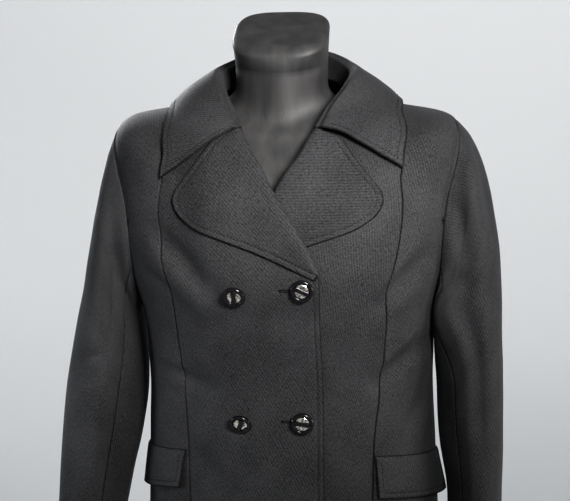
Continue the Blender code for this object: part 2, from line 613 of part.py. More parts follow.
def arc(centre, radius, start, end, steps):
    """Points of an arc in (radius, height), angles in degrees from the outward direction."""
    angles = np.radians(np.linspace(start, end, steps))
    return [(centre[0] + radius * math.cos(a), centre[1] + radius * math.sin(a)) for a in angles]


def place_on_coat(made, x, z, lift):
    """Stand a piece on the coat's front at x, z, its own Z along the normal."""
    turn, up = spot(x, z)
    facing = outward(lambda u, v: girth(COAT_GIRTHS, u, v), turn, up)
    seat = coat(turn, up, overlap_lift(turn, up) + lift)
    sideways = np.cross([0, 0, 1.0], facing)
    sideways /= np.linalg.norm(sideways)
    upward = np.cross(facing, sideways)
    rows = [[sideways[i], upward[i], facing[i], seat[i]] for i in range(3)]
    made.matrix_world = Matrix([*rows, [0, 0, 0, 1]])


def button(number, x, z, finish, metal):
    """A glossy domed rim with a metal face sunk in it, on a short sewn neck."""
    r = BUTTON_RADIUS
    profile = [
        (0, 0.0052), (0.0088, 0.0052), (0.0092, 0.0058), *arc((0.0114, 0.0047), 0.0023, 110, 0, 4),
        *arc((r - 0.0012, 0.0031), 0.0012, -20, -90, 3), (0.0040, 0.0016), (0.0036, 0.0), (0, 0.0),
    ]
    rim = turned(f"button_{number}", profile, 20, finish)
    place_on_coat(rim, x, z, SEAM)
    disc = [(0, 0.0067), (0.0082, 0.0061), (0.0086, 0.0056), (0, 0.0056)]
    face = turned(f"button_face_{number}", disc, 20, metal)
    place_on_coat(face, x, z, SEAM)


# ---------------------------------------------------------------- form and stand
def form(name, finish):
    """The limbless form, from its flat underside to the slanted, rounded top of its neck."""
    lines = np.concatenate([np.linspace(FORM_FOOT, 1.33, 13), np.linspace(1.354, 1.616, 12)])
    turn, up = np.meshgrid(np.linspace(0, 2 * math.pi, 33)[:-1], lines)
    points = girth(FORM_GIRTHS, turn, up) + np.array([FORM_SHIFT, 0, 0])
    crown = [points[-1] * np.array([0.975, 0.975, 1]) + np.array([0, 0, 0.004])]
    crown.append(points[-1] * np.array([0.90, 0.90, 1]) + np.array([0, 0, 0.0065]))
    points = np.concatenate([points, crown])
    rows, columns = points.shape[:2]
    number = np.arange(rows * columns).reshape(rows, columns)
    number = np.hstack([number, number[:, :1]])
    quads = np.stack([number[:-1, :-1], number[:-1, 1:], number[1:, 1:], number[1:, :-1]], axis=-1)
    faces = quads.reshape(-1, 4).tolist() + [number[0, :-1][::-1].tolist(), number[-1, :-1].tolist()]
    mesh = bpy.data.meshes.new(name)
    mesh.from_pydata(points.reshape(-1, 3).tolist(), [], faces)
    mesh.update()
    return finished(name, mesh, finish)


def build():
    twill = material("Black twill", (0.012, 0.012, 0.014), 0.85)
    cover = material("Black cover", (0.010, 0.010, 0.011), 0.45)
    gloss = material("Black gloss", (0.008, 0.008, 0.009), 0.12)
    metal = material("Pale metal", (0.62, 0.58, 0.50), 0.25, metallic=1.0)
    steel = material("Dark steel", (0.05, 0.05, 0.055), 0.35, metallic=1.0)
    for side, hand in ((-1, "right"), (1, "left")):
        front(side, f"front_{hand}", twill)
        side_front(side, f"side_front_{hand}", twill)
        back(side, f"back_{hand}", twill)
        lapel(side, f"lapel_{hand}", twill)
        flap(side, f"pocket_flap_{hand}", twill)
        sleeve(side, f"sleeve_upper_{hand}", SLEEVE_FRONT_SEAM, SLEEVE_BACK_SEAM, twill)
        sleeve(side, f"sleeve_under_{hand}", SLEEVE_BACK_SEAM, SLEEVE_FRONT_SEAM + 2 * math.pi, twill)
    collar("collar", twill)
    for number, (x, z) in enumerate(BUTTONS, start=1):
        button(number, x, z, gloss, metal)
    form("form_body", cover)
    top, foot = FORM_FOOT - SEAM, BASE_HEIGHT + SEAM
    turned("stand_pole", [(0, top), (POLE_RADIUS, top), (POLE_RADIUS, foot), (0, foot)], 24, steel)
    rim = arc((BASE_RADIUS - 0.006, BASE_HEIGHT - 0.006), 0.006, 90, 0, 5)
    turned("stand_base", [(0, BASE_HEIGHT), *rim, (BASE_RADIUS, 0), (0, 0)], 48, steel)


for old in list(bpy.data.objects):
    bpy.data.objects.remove(old)
PARTS = collection("coat_on_form")
build()
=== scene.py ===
import math

import bpy
import numpy as np
from mathutils import Matrix, Vector
from mathutils.bvhtree import BVHTree


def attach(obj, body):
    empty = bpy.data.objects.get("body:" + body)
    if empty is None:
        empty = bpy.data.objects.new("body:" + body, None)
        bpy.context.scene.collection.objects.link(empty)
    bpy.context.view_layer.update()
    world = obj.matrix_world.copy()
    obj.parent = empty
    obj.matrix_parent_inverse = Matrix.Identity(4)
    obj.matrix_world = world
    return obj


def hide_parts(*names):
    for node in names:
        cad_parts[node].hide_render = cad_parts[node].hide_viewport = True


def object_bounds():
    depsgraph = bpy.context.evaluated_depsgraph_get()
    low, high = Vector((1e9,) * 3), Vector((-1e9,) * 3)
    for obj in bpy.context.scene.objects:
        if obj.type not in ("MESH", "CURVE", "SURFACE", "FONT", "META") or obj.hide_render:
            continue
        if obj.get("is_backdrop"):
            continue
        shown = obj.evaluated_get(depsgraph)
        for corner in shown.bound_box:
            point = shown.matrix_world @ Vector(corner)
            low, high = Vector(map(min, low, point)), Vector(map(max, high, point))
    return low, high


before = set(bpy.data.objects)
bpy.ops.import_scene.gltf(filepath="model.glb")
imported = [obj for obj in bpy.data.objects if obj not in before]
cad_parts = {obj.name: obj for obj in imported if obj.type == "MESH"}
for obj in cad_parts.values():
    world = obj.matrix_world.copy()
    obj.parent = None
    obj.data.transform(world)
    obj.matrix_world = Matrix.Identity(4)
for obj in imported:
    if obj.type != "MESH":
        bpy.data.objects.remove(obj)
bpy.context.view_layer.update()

# ---------------------------------------- the stand
# A round weighted base and a steel tube that carries the form, both painted dark in a satin finish. The base
# is turned with a rounded rim, and the tube is welded to it with a small fillet.
BASE_RADIUS, BASE_HEIGHT, POLE_RADIUS, FORM_FOOT = 0.180, 0.018, 0.0160, 0.740


def shader(name, **sockets):
    """A Principled material with the given sockets set."""
    made = bpy.data.materials.new(name)
    made.use_nodes = True
    bsdf = made.node_tree.nodes["Principled BSDF"]
    for socket, value in sockets.items():
        bsdf.inputs[socket.replace("_", " ")].default_value = value
    return made, bsdf


def node(made, kind, inputs=(), **settings):
    """A node with its settings, its inputs given as {socket: value or the output that feeds it}."""
    new = made.node_tree.nodes.new(kind)
    for setting, value in settings.items():
        setattr(new, setting, value)
    for socket, value in dict(inputs).items():
        if isinstance(value, bpy.types.NodeSocket):
            made.node_tree.links.new(value, new.inputs[socket])
        else:
            new.inputs[socket].default_value = value
    return new


def noise(made, vector, scale, detail, **more):
    """The 0 to 1 output of a noise texture."""
    sockets = {"Vector": vector, "Scale": scale, "Detail": detail, **more}
    return node(made, "ShaderNodeTexNoise", sockets).outputs["Fac"]


def coloured(made, bsdf, amount, dark, pale, start=0.0, end=1.0):
    """The base colour goes from dark to pale as amount goes from start to end."""
    ramp = node(made, "ShaderNodeValToRGB", {"Fac": amount})
    for element, at, colour in zip(ramp.color_ramp.elements, (start, end), (dark, pale)):
        element.position, element.color = at, (*colour, 1)
    made.node_tree.links.new(ramp.outputs["Color"], bsdf.inputs["Base Color"])


def embossed(made, bsdf, height, strength, distance):
    """A relief as high as distance in metres where height is 1."""
    bump = node(made, "ShaderNodeBump", {"Height": height, "Strength": strength, "Distance": distance})
    made.node_tree.links.new(bump.outputs["Normal"], bsdf.inputs["Normal"])


def smooth_mesh(name, points, faces, finish):
    """A mesh of one material, shaded smooth."""
    mesh = bpy.data.meshes.new(name)
    mesh.from_pydata(points.reshape(-1, 3).tolist(), [], [face.tolist() for face in faces])
    mesh.shade_smooth()
    mesh.materials.append(finish)
    return mesh


def added(name, data):
    """A new object of the scene that holds a mesh, a lamp or a camera."""
    made = bpy.data.objects.new(name, data)
    bpy.context.scene.collection.objects.link(made)
    return made


def piece(name, points, faces, finish, uv=None, sharp=60):
    """A smooth mesh piece on the root body; uv gives one (u, v) in metres for each point."""
    mesh = smooth_mesh(name, points, faces, finish)
    mesh.set_sharp_from_angle(angle=math.radians(sharp))
    if uv is not None:
        corners = np.zeros(len(mesh.loops), dtype=np.int32)
        mesh.loops.foreach_get("vertex_index", corners)
        mesh.uv_layers.new(name="grain").data.foreach_set("uv", uv[corners].astype(np.float32).ravel())
    made = added(name, mesh)
    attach(made, "root")
    return made


def bands(number, along=False):
    """Quads from each row of a grid of point numbers to the next, and round to the first column again."""
    after = np.roll(number, -1, axis=1)
    across = (number[:-1], after[:-1], after[1:], number[1:])
    quads = (number[:-1], number[1:], after[1:], after[:-1]) if along else across
    return np.stack(quads, axis=-1).reshape(-1, 4)


def closed_rings(rings, ends):
    """Points and faces of a round body: bands between rings, and a fan from each end ring to its centre."""
    around = rings.shape[1]
    points = np.concatenate([rings.reshape(-1, 3), ends])
    number = np.arange(rings.shape[0] * around).reshape(-1, around)
    after = np.roll(number, -1, axis=1)
    foot = np.stack([after[0], number[0], np.full(around, len(points) - 2)], axis=-1)
    head = np.stack([number[-1], after[-1], np.full(around, len(points) - 1)], axis=-1)
    return points, [*bands(number), *foot, *head]


def moved(points, place):
    """Points given on a thing's own axes, put where its matrix places them."""
    return points @ np.array(place.to_3x3()).T + np.array(place.translation)


def turned(name, profile, around, finish, place=None):
    """Each (radius, height) of the profile carried once round Z, closed on the axis at both ends."""
    profile = np.array(profile, float)
    angle = np.linspace(0, 2 * math.pi, around, endpoint=False)
    radius, height = profile[1:-1, :1], profile[1:-1, 1:]
    height = np.repeat(height, around, axis=1)
    rings = np.stack([radius * np.cos(angle), radius * np.sin(angle), height], axis=-1)
    points, faces = closed_rings(rings, [[0, 0, profile[0, 1]], [0, 0, profile[-1, 1]]])
    return piece(name, points if place is None else moved(points, place), faces, finish, sharp=40)


def arc(centre, radius, start, end, steps):
    """(radius, height) along an arc, angles in degrees from the outward direction."""
    angle = np.radians(np.linspace(start, end, steps))
    return [(centre[0] + radius * math.cos(a), centre[1] + radius * math.sin(a)) for a in angle]


painted_steel, bsdf = shader("painted_steel", Roughness=0.38, Specular_IOR_Level=0.5)
place = node(painted_steel, "ShaderNodeTexCoord").outputs["Object"]
mottle = noise(painted_steel, place, 35.0, 4.0)
coloured(painted_steel, bsdf, mottle, (0.030, 0.030, 0.033), (0.050, 0.050, 0.054))
embossed(painted_steel, bsdf, noise(painted_steel, place, 600.0, 2.0), 0.15, 0.0002)

base_profile = [
    (0, 0), (BASE_RADIUS - 0.004, 0), *arc((BASE_RADIUS - 0.002, 0.002), 0.002, -90, 0, 4),
    *arc((BASE_RADIUS - 0.006, BASE_HEIGHT - 0.006), 0.006, 0, 90, 8), (0.120, BASE_HEIGHT),
    (0.040, BASE_HEIGHT), (0.022, BASE_HEIGHT), (0, BASE_HEIGHT),
]
base = turned("base", base_profile, 96, painted_steel)
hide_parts("stand_base")
pole_profile = [
    (0, BASE_HEIGHT), (POLE_RADIUS + 0.0045, BASE_HEIGHT), (POLE_RADIUS + 0.0032, BASE_HEIGHT + 0.0014),
    (POLE_RADIUS + 0.0014, BASE_HEIGHT + 0.0030), (POLE_RADIUS, BASE_HEIGHT + 0.0045), (POLE_RADIUS, 0.25),
    (POLE_RADIUS, 0.50), (POLE_RADIUS, FORM_FOOT - 0.0005), (0, FORM_FOOT - 0.0005),
]
pole = turned("pole", pole_profile, 48, painted_steel)
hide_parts("stand_pole")

# ---------------------------------------- the form
# A limbless dress form: a hard foam body under a black stretch cover, drawn smooth over the shoulders and
# over the slanted end of the neck, and flat underneath where the pole goes in.
FORM_SHIFT = -0.006
FORM_GIRTHS = (
    # up,   half,  front, back,  power, z_front, z_side, z_back
    (0.740, 0.158, 0.105, 0.118, 2.2, 0.740, 0.740, 0.740),
    (0.860, 0.167, 0.112, 0.122, 2.2, 0.860, 0.860, 0.860),
    (0.960, 0.158, 0.106, 0.104, 2.2, 0.960, 0.960, 0.960),
    (1.065, 0.134, 0.092, 0.082, 2.2, 1.065, 1.065, 1.065),
    (1.130, 0.146, 0.106, 0.088, 2.2, 1.130, 1.130, 1.130),
    (1.210, 0.164, 0.128, 0.098, 2.3, 1.210, 1.210, 1.210),
    (1.290, 0.184, 0.110, 0.102, 2.3, 1.285, 1.290, 1.290),
    (1.372, 0.188, 0.084, 0.090, 2.2, 1.332, 1.372, 1.350),
    (1.450, 0.118, 0.062, 0.072, 2.1, 1.368, 1.4015, 1.392),
    (1.520, 0.060, 0.048, 0.054, 2.0, 1.402, 1.422, 1.428),
    (1.556, 0.058, 0.050, 0.052, 2.0, 1.446, 1.452, 1.456),
)
NECK_RIM = (0.0600, 0.0515, 0.0545, 3.3)    # half width, front, back and power of the slanted top's outline
# the slanted top: its height at the middle, its rise towards the back, and its mean radius
NECK_TOP, NECK_SLANT, NECK_RADIUS = 1.4970, 0.41, 0.05
FOOT_RIM = ((0.30, 0), (0.7, 0), (0.985, 0), (0.998, 0.002))    # share of the lowest outline, rise


def smooth(at, knots, values):
    """A cubic curve through the knots, with each knot's slope taken from its neighbours."""
    slopes = np.gradient(values, knots)
    row = np.clip(np.searchsorted(knots, at, side="right") - 1, 0, len(knots) - 2)
    step = knots[row + 1] - knots[row]
    t = (at - knots[row]) / step
    return (
        (2 * t**3 - 3 * t**2 + 1) * values[row]
        + (t**3 - 2 * t**2 + t) * step * slopes[row]
        + (3 * t**2 - 2 * t**3) * values[row + 1]
        + (t**3 - t**2) * step * slopes[row + 1]
    )


def box_reach(side, ahead, power):
    """How far a rounded box of half width 1 reaches in the direction (side, ahead)."""
    return (np.abs(side) ** power + np.abs(ahead) ** power) ** (-1 / power)


def girth(table, turn, up):
    """A loft through rounded boxes: turn goes round the body from the front, up rises along its side."""
    rows = np.array(table)
    half, front, back, power, z_front, z_side, z_back = (
        smooth(up, rows[:, 0], rows[:, column]) for column in range(1, rows.shape[1])
    )
    side, ahead = np.sin(turn), np.cos(turn)
    reach = box_reach(side, ahead, power)
    depth = np.where(ahead > 0, front, back)
    z_middle = np.where(ahead > 0, z_front, z_back)
    return np.stack(
        [half * side * reach, -depth * ahead * reach, z_side + (z_middle - z_side) * ahead**2], axis=-1
    )


form_cover, bsdf = shader(
    "form_cover", Roughness=0.58, Specular_IOR_Level=0.45, Sheen_Weight=0.03, Sheen_Roughness=0.35
)
bsdf.inputs["Sheen Tint"].default_value = (0.75, 0.76, 0.80, 1)
place = node(form_cover, "ShaderNodeTexCoord").outputs["Object"]
stretched = node(form_cover, "ShaderNodeMapping", {"Vector": place, "Scale": (1.0, 1.0, 0.12)})
stretched = stretched.outputs["Vector"]
clouds = noise(form_cover, stretched, 60.0, 5.0)
coloured(form_cover, bsdf, clouds, (0.0150, 0.0150, 0.0157), (0.0430, 0.0418, 0.0410), 0.25, 0.8)
embossed(form_cover, bsdf, noise(form_cover, stretched, 700.0, 3.0), 0.6, 0.0004)

AROUND_FORM = 144
turn, up = np.meshgrid(np.linspace(0, 2 * math.pi, AROUND_FORM + 1)[:-1], np.linspace(FORM_FOOT, 1.556, 150))
loops = girth(FORM_GIRTHS, turn, up)
# the neck's end: its outline grows squarer up to a rim that follows the slant, and rounds over on to the top
half, front, back, power = NECK_RIM
side, ahead = np.sin(turn[0]), np.cos(turn[0])
reach = box_reach(side, ahead, power)
outline = np.stack([half * side * reach, -np.where(ahead > 0, front, back) * ahead * reach], axis=-1)
rounding = 0.0055 + 0.0075 * np.clip(ahead, 0, 1) ** 2
rim = np.concatenate([outline, (NECK_TOP + NECK_SLANT * outline[:, 1] - rounding)[:, None]], axis=-1)
share = np.linspace(0, 1, 13)[1:, None, None]
swell = (share * (1 - share) * 0.004) * np.stack([0 * side, -np.clip(ahead, 0, 1), 0 * side], axis=-1)
throat = loops[-1] + (rim - loops[-1]) * share + swell
turn_in = np.array([0.01, 0.05, 0.12, 0.22, 0.35, 0.5, 0.65, 0.8, 0.9, 1.0])[:, None]
middle = np.array([0.88, 0.72, 0.54, 0.36, 0.18])[:, None]
share = np.concatenate([1 - turn_in * rounding / NECK_RADIUS, (1 - rounding / NECK_RADIUS) * middle])
drop = np.pad(rounding * (1 - np.sqrt(1 - (1 - turn_in) ** 2)), ((0, 5), (0, 0)))
across = outline[None] * share[..., None]
crown = np.concatenate([across, (NECK_TOP + NECK_SLANT * across[..., 1] - drop)[..., None]], axis=-1)
foot = [loops[0] * [share, share, 1] + [0, 0, rise] for share, rise in FOOT_RIM]
rings = np.concatenate([foot, loops[1:], throat, crown]) + [FORM_SHIFT, 0, 0]
points, faces = closed_rings(rings, [rings[0].mean(axis=0), rings[-1].mean(axis=0)])
form = piece("form", points, faces, form_cover)
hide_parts("form_body")

# ---------------------------------------- the backs
# Two back panels of black twill, sewn down the centre back and pressed open. Each runs from the hem to the
# neck and out to the side seam, the back of the armhole and the shoulder seam.
CLOTH = 0.0020
HEM_UP, ARMPIT_UP, SHOULDER_UP, YOKE_UP, NECK_UP = 0.600, 1.150, 1.385, 1.457, 1.526
SIDE_SEAM_TURN = math.radians(95)
QUARTER = math.pi / 2
COAT_GIRTHS = (
    # up,   half,  front, back,  power, z_front, z_side, z_back
    (0.600, 0.202, 0.156, 0.156, 2.3, 0.600, 0.600, 0.600),
    (0.740, 0.193, 0.146, 0.148, 2.3, 0.740, 0.740, 0.740),
    (0.870, 0.188, 0.137, 0.138, 2.4, 0.870, 0.870, 0.870),
    (0.960, 0.185, 0.130, 0.123, 2.4, 0.960, 0.960, 0.960),
    (1.075, 0.182, 0.126, 0.104, 2.4, 1.075, 1.075, 1.075),
    (1.150, 0.187, 0.140, 0.112, 2.5, 1.150, 1.150, 1.150),
    (1.205, 0.200, 0.148, 0.118, 2.7, 1.205, 1.205, 1.205),
    (1.285, 0.210, 0.136, 0.120, 2.9, 1.285, 1.285, 1.285),
    (1.385, 0.209, 0.104, 0.108, 2.8, 1.345, 1.385, 1.365),
    (1.457, 0.138, 0.082, 0.088, 2.3, 1.375, 1.4035, 1.405),
    (1.526, 0.081, 0.060, 0.066, 2.0, 1.395, 1.421, 1.435),
)
FOLDS = {
    # on each face of the coat: x and z of both ends, half width, height
    "front": (
        (-0.152, 1.262, -0.078, 1.192, 0.014, -0.0085), (-0.158, 1.232, -0.098, 1.174, 0.012, 0.0040),
        (-0.140, 1.082, -0.085, 1.066, 0.012, -0.0050), (-0.112, 0.984, -0.066, 0.926, 0.014, -0.0055),
        (-0.120, 0.900, -0.096, 0.640, 0.030, -0.0070), (0.126, 1.172, 0.172, 1.224, 0.012, -0.0072),
        (0.118, 1.068, 0.172, 1.116, 0.011, -0.0078), (0.154, 0.998, 0.178, 1.056, 0.012, -0.0060),
        (0.046, 0.952, 0.060, 0.700, 0.020, -0.0045), (0.132, 0.900, 0.120, 0.640, 0.028, -0.0080),
    ),
    "back": (
        (0.160, 1.105, 0.070, 1.080, 0.014, -0.0040), (-0.165, 1.090, -0.080, 1.066, 0.013, -0.0035),
        (0.150, 1.250, 0.110, 1.150, 0.018, -0.0040), (-0.155, 1.240, -0.120, 1.140, 0.018, -0.0045),
        (0.098, 0.900, 0.118, 0.630, 0.032, 0.0080), (-0.085, 0.900, -0.108, 0.630, 0.030, 0.0090),
        (0.004, 0.880, 0.010, 0.630, 0.030, -0.0080),
    ),
}
# small creases that lie on the folds, uneven in length, depth and direction
CREASES = {
    "front": (
        (-0.166, 1.208, -0.128, 1.190, 0.007, -0.0012), (-0.128, 1.236, -0.104, 1.214, 0.006, 0.0009),
        (-0.110, 1.150, -0.090, 1.120, 0.010, -0.0008), (-0.100, 1.100, -0.072, 1.096, 0.009, 0.0008),
        (-0.150, 1.052, -0.118, 1.060, 0.008, -0.0010), (-0.096, 0.965, -0.052, 0.915, 0.008, 0.0010),
        (-0.020, 1.130, 0.004, 1.090, 0.016, -0.0007), (-0.010, 0.985, 0.030, 0.940, 0.014, -0.0009),
        (0.026, 1.160, 0.040, 1.110, 0.012, 0.0006), (0.060, 1.120, 0.082, 1.070, 0.012, -0.0008),
        (0.076, 0.990, 0.098, 0.930, 0.011, -0.0010), (0.142, 1.158, 0.178, 1.190, 0.007, 0.0013),
        (0.148, 1.090, 0.176, 1.128, 0.007, 0.0011), (0.150, 1.036, 0.174, 1.075, 0.006, -0.0009),
        (0.158, 0.982, 0.176, 1.012, 0.006, 0.0008), (0.100, 1.232, 0.132, 1.248, 0.010, -0.0008),
        (0.120, 1.188, 0.166, 1.240, 0.007, 0.0022), (0.116, 1.088, 0.166, 1.130, 0.006, 0.0022),
        (0.126, 1.058, 0.172, 1.094, 0.005, 0.0014), (0.134, 1.160, 0.170, 1.196, 0.005, 0.0012),
        (-0.160, 1.246, -0.100, 1.190, 0.006, 0.0018), (-0.150, 1.095, -0.100, 1.078, 0.006, 0.0014),
        (-0.128, 0.990, -0.074, 0.940, 0.006, 0.0016), (-0.070, 0.820, -0.060, 0.660, 0.016, 0.0018),
        (0.090, 0.840, 0.084, 0.680, 0.015, 0.0018),
    ),
    "back": (
        (0.150, 1.128, 0.100, 1.112, 0.008, 0.0011), (0.120, 1.060, 0.060, 1.050, 0.008, -0.0009),
        (-0.150, 1.118, -0.092, 1.096, 0.007, 0.0010), (-0.130, 1.050, -0.070, 1.040, 0.008, -0.0010),
        (0.060, 1.300, 0.110, 1.320, 0.016, -0.0010), (-0.070, 1.290, -0.120, 1.316, 0.015, -0.0011),
        (0.030, 1.200, 0.050, 1.120, 0.015, 0.0008), (-0.040, 1.190, -0.054, 1.130, 0.014, 0.0008),
        (0.140, 0.840, 0.150, 0.700, 0.014, -0.0018), (-0.140, 0.820, -0.152, 0.690, 0.014, -0.0020),
    ),
}


def ease(value, start, end):
    """0 before start, 1 after end, and a soft rise between them."""
    t = np.clip((np.asarray(value, float) - start) / (end - start), 0, 1)
    return t * t * (3 - 2 * t)


def unit(vectors):
    """Each vector divided by its length."""
    return vectors / np.linalg.norm(vectors, axis=-1, keepdims=True)


def outward(surface, spots, step=1e-4):
    """Unit normals of a surface at its (u, v) spots: the cross product of its small differences."""
    along, rising = (surface(spots + way) - surface(spots - way) for way in np.eye(2) * step)
    return unit(np.cross(along, rising))


def bare(spots):
    """Points of the coat's outer face without its folds, at spots given as (turn, up)."""
    return girth(COAT_GIRTHS, spots[..., 0], spots[..., 1])


def fold_height(point, table):
    """A soft ridge or hollow round each line of the table: its height dies out as a bell to both sides."""
    height = np.zeros(point.shape[:-1])
    for face, folds in table.items():
        on_face = ease(point[..., 1] * (-1 if face == "front" else 1), 0, 0.04)
        for x1, z1, x2, z2, width, rise in folds:
            run = np.array([x2 - x1, z2 - z1])
            from_start = point[..., [0, 2]] - np.array([x1, z1])
            along = np.clip(from_start @ run / (run @ run), 0, 1)
            away = np.linalg.norm(from_start - along[..., None] * run, axis=-1)
            bell = np.exp(-((away / width) ** 2))
            height += rise * bell * (0.55 + 0.45 * np.sin(np.pi * along)) * on_face
    return height


def ripple(point):
    """The cloth's slight unevenness: a few long waves that cross each other, 0.2 mm high."""
    x, y, z = point[..., 0], point[..., 1], point[..., 2]
    return 0.0001 * (
        np.sin(61 * x + 23 * z + 1.3) + np.sin(-37 * x + 71 * z + 40 * y)
        + 0.8 * np.sin(97 * z - 53 * y + 2.0) + 0.6 * np.sin(139 * x + 88 * z + 0.7)
    )


def coat(spots, lift=0.0):
    """Points of the coat's outer face with its folds, moved out by lift along the normal."""
    plain, facing = bare(spots), outward(bare, spots)
    height = fold_height(plain, FOLDS) + fold_height(plain, CREASES) + ripple(plain)
    return plain + facing * (height + lift)[..., None]


def lengths(points, axis=0):
    """How far each point is from the start of its line, where the lines of a grid run along the axis."""
    far = np.cumsum(np.linalg.norm(np.diff(points, axis=axis), axis=-1), axis=axis)
    return np.insert(far, 0, 0, axis=axis)


def edge(points):
    """A curve through (turn, up) points as a function of 0 to 1, even in real length."""
    points = np.array(points)
    if len(points) > 2:
        knots = lengths(bare(points))
        fine = np.linspace(0, knots[-1], 1200)
        points = np.stack([smooth(fine, knots, points[:, 0]), smooth(fine, knots, points[:, 1])], axis=-1)
    else:
        points = points[0] + np.linspace(0, 1, 1200)[:, None] * (points[1] - points[0])
    gaps = np.linalg.norm(np.diff(bare(points), axis=0), axis=1)
    share = np.concatenate([[0], np.cumsum(gaps)]) / gaps.sum()
    return lambda t: np.stack([np.interp(t, share, points[:, 0]), np.interp(t, share, points[:, 1])], axis=-1)


def joined(*curves, shares):
    """Several curves one after another, each with its share of 0 to 1."""
    ends = np.cumsum((0, *shares)) / sum(shares)

    def whole(t):
        """The point of the curve whose share of 0 to 1 holds t."""
        t = np.asarray(t, float)
        result = np.zeros(t.shape + (2,))
        for curve, start, end in zip(curves, ends[:-1], ends[1:]):
            inside = (t >= start) & (t <= end)
            result[inside] = curve((t[inside] - start) / (end - start))
        return result

    return whole


def between(bottom, top, first, last, across, upward):
    """A Coons patch: straight blends of both pairs of edges, less the blend of the four corners."""
    u, t = np.meshgrid(across, upward)
    u1, t1 = u[..., None], t[..., None]
    low, high = bottom(np.array([0.0, 1.0])), top(np.array([0.0, 1.0]))
    corners = (
        (1 - u1) * (1 - t1) * low[0] + u1 * (1 - t1) * low[1] + (1 - u1) * t1 * high[0] + u1 * t1 * high[1]
    )
    return (1 - t1) * bottom(u) + t1 * top(u) + (1 - u1) * first(t) + u1 * last(t) - corners


def shares(length, step, at=()):
    """0 to 1 in even steps, with three more lines close to each end, where the cloth turns under."""
    close = np.array([0, 0.0005, 0.0013, 0.0026]) / length
    even = np.linspace(0, 1, max(3, round(length / step)))
    even = even[(even > close[-1] * 1.4) & (even < 1 - close[-1] * 1.4)]
    return np.unique(np.concatenate([close, even, 1 - close, at]))


def edge_distances(points):
    """For each point of a grid, how far it is along the cloth from the first and last column and row."""
    across, upward = lengths(points, axis=1), lengths(points)
    return across, across[:, -1:] - across, upward, upward[-1:] - upward


def turned_in(distance, depth=0.0012, width=0.0024):
    """How far a seam's edge rolls in: nothing past width, and depth at the seam, as a parabola."""
    return -depth * np.clip(1 - distance / width, 0, 1) ** 2


def grid_normals(points):
    """Unit normals of a grid of points, from the rows and columns next to each."""
    return unit(np.cross(np.gradient(points, axis=1), np.gradient(points, axis=0)))


def straight_grain(points):
    """(u, v) in metres: u along each row from its middle, v along the middle column."""
    middle = points.shape[1] // 2
    across = lengths(points, axis=1)
    v = np.repeat(lengths(points[:, middle])[:, None], points.shape[1], axis=1)
    return np.stack([across - across[:, middle : middle + 1], v], axis=-1)


def away_from(points, line):
    """Distance from each point to the nearest place on a polyline."""
    nearest = np.full(points.shape[:-1], np.inf)
    for start, end in zip(line[:-1], line[1:]):
        run = end - start
        share = np.clip((points - start) @ run / (run @ run), 0, 1)
        nearest = np.minimum(nearest, np.linalg.norm(points - start - share[..., None] * run, axis=-1))
    return nearest


def cloth(name, outer, finish, grain, thickness=CLOTH, facing=1):
    """A closed sheet: the grid, its copy one thickness below, and a rounded rim all round between them. The
    value called border rises from 0 at the sheet's edges to 1 in the first 1.8 mm, and paints shade on seams."""
    rows, columns = outer.shape[:2]
    normal = grid_normals(outer) * facing
    inner = outer - thickness * normal
    number = np.arange(rows * columns).reshape(rows, columns)
    loop = np.concatenate([number[0, :-1], number[:-1, -1], number[-1, :0:-1], number[:0:-1, 0]])
    away = np.zeros((rows, columns, 3))
    for rim, next_in in (
        ((0, slice(None)), (1, slice(None))), ((-1, slice(None)), (-2, slice(None))),
        ((slice(None), 0), (slice(None), 1)), ((slice(None), -1), (slice(None), -2)),
    ):
        away[rim] += unit(outer[rim] - outer[next_in])
    flat_outer, flat_inner = outer.reshape(-1, 3), inner.reshape(-1, 3)
    way = unit(away.reshape(-1, 3)[loop])
    rim_points = (flat_outer[loop] + flat_inner[loop]) / 2 + way * thickness * 0.42
    under, around = rows * columns, 2 * rows * columns
    skin = np.stack([number[:-1, :-1], number[:-1, 1:], number[1:, 1:], number[1:, :-1]], axis=-1)
    skin = skin.reshape(-1, 4)
    after = np.roll(loop, -1)
    rim_number = around + np.arange(len(loop))
    rim_after = np.roll(rim_number, -1)
    upper_rim = np.stack([after, loop, rim_number, rim_after], axis=-1)
    lower_rim = np.stack([rim_after, rim_number, loop + under, after + under], axis=-1)
    faces = np.concatenate([skin, skin[:, ::-1] + under, upper_rim, lower_rim])
    if facing < 0:
        faces = faces[:, ::-1]
    points = np.concatenate([flat_outer, flat_inner, rim_points])
    uv = grain.reshape(-1, 2)
    uv = np.concatenate([uv, uv, uv[loop]])
    made = piece(name, points, faces, finish, uv=uv)
    # border: 0 at each edge of the sheet, 1 from 1.8 mm in; the twill finish darkens the colour by it as
    # painted shade along seams and edges
    border = np.clip(np.minimum.reduce(edge_distances(outer)) / 0.0018, 0, 1).ravel()
    border = np.concatenate([border, border, border[loop]]).astype(np.float32)
    made.data.attributes.new("border", "FLOAT", "POINT").data.foreach_set("value", border)
    return made


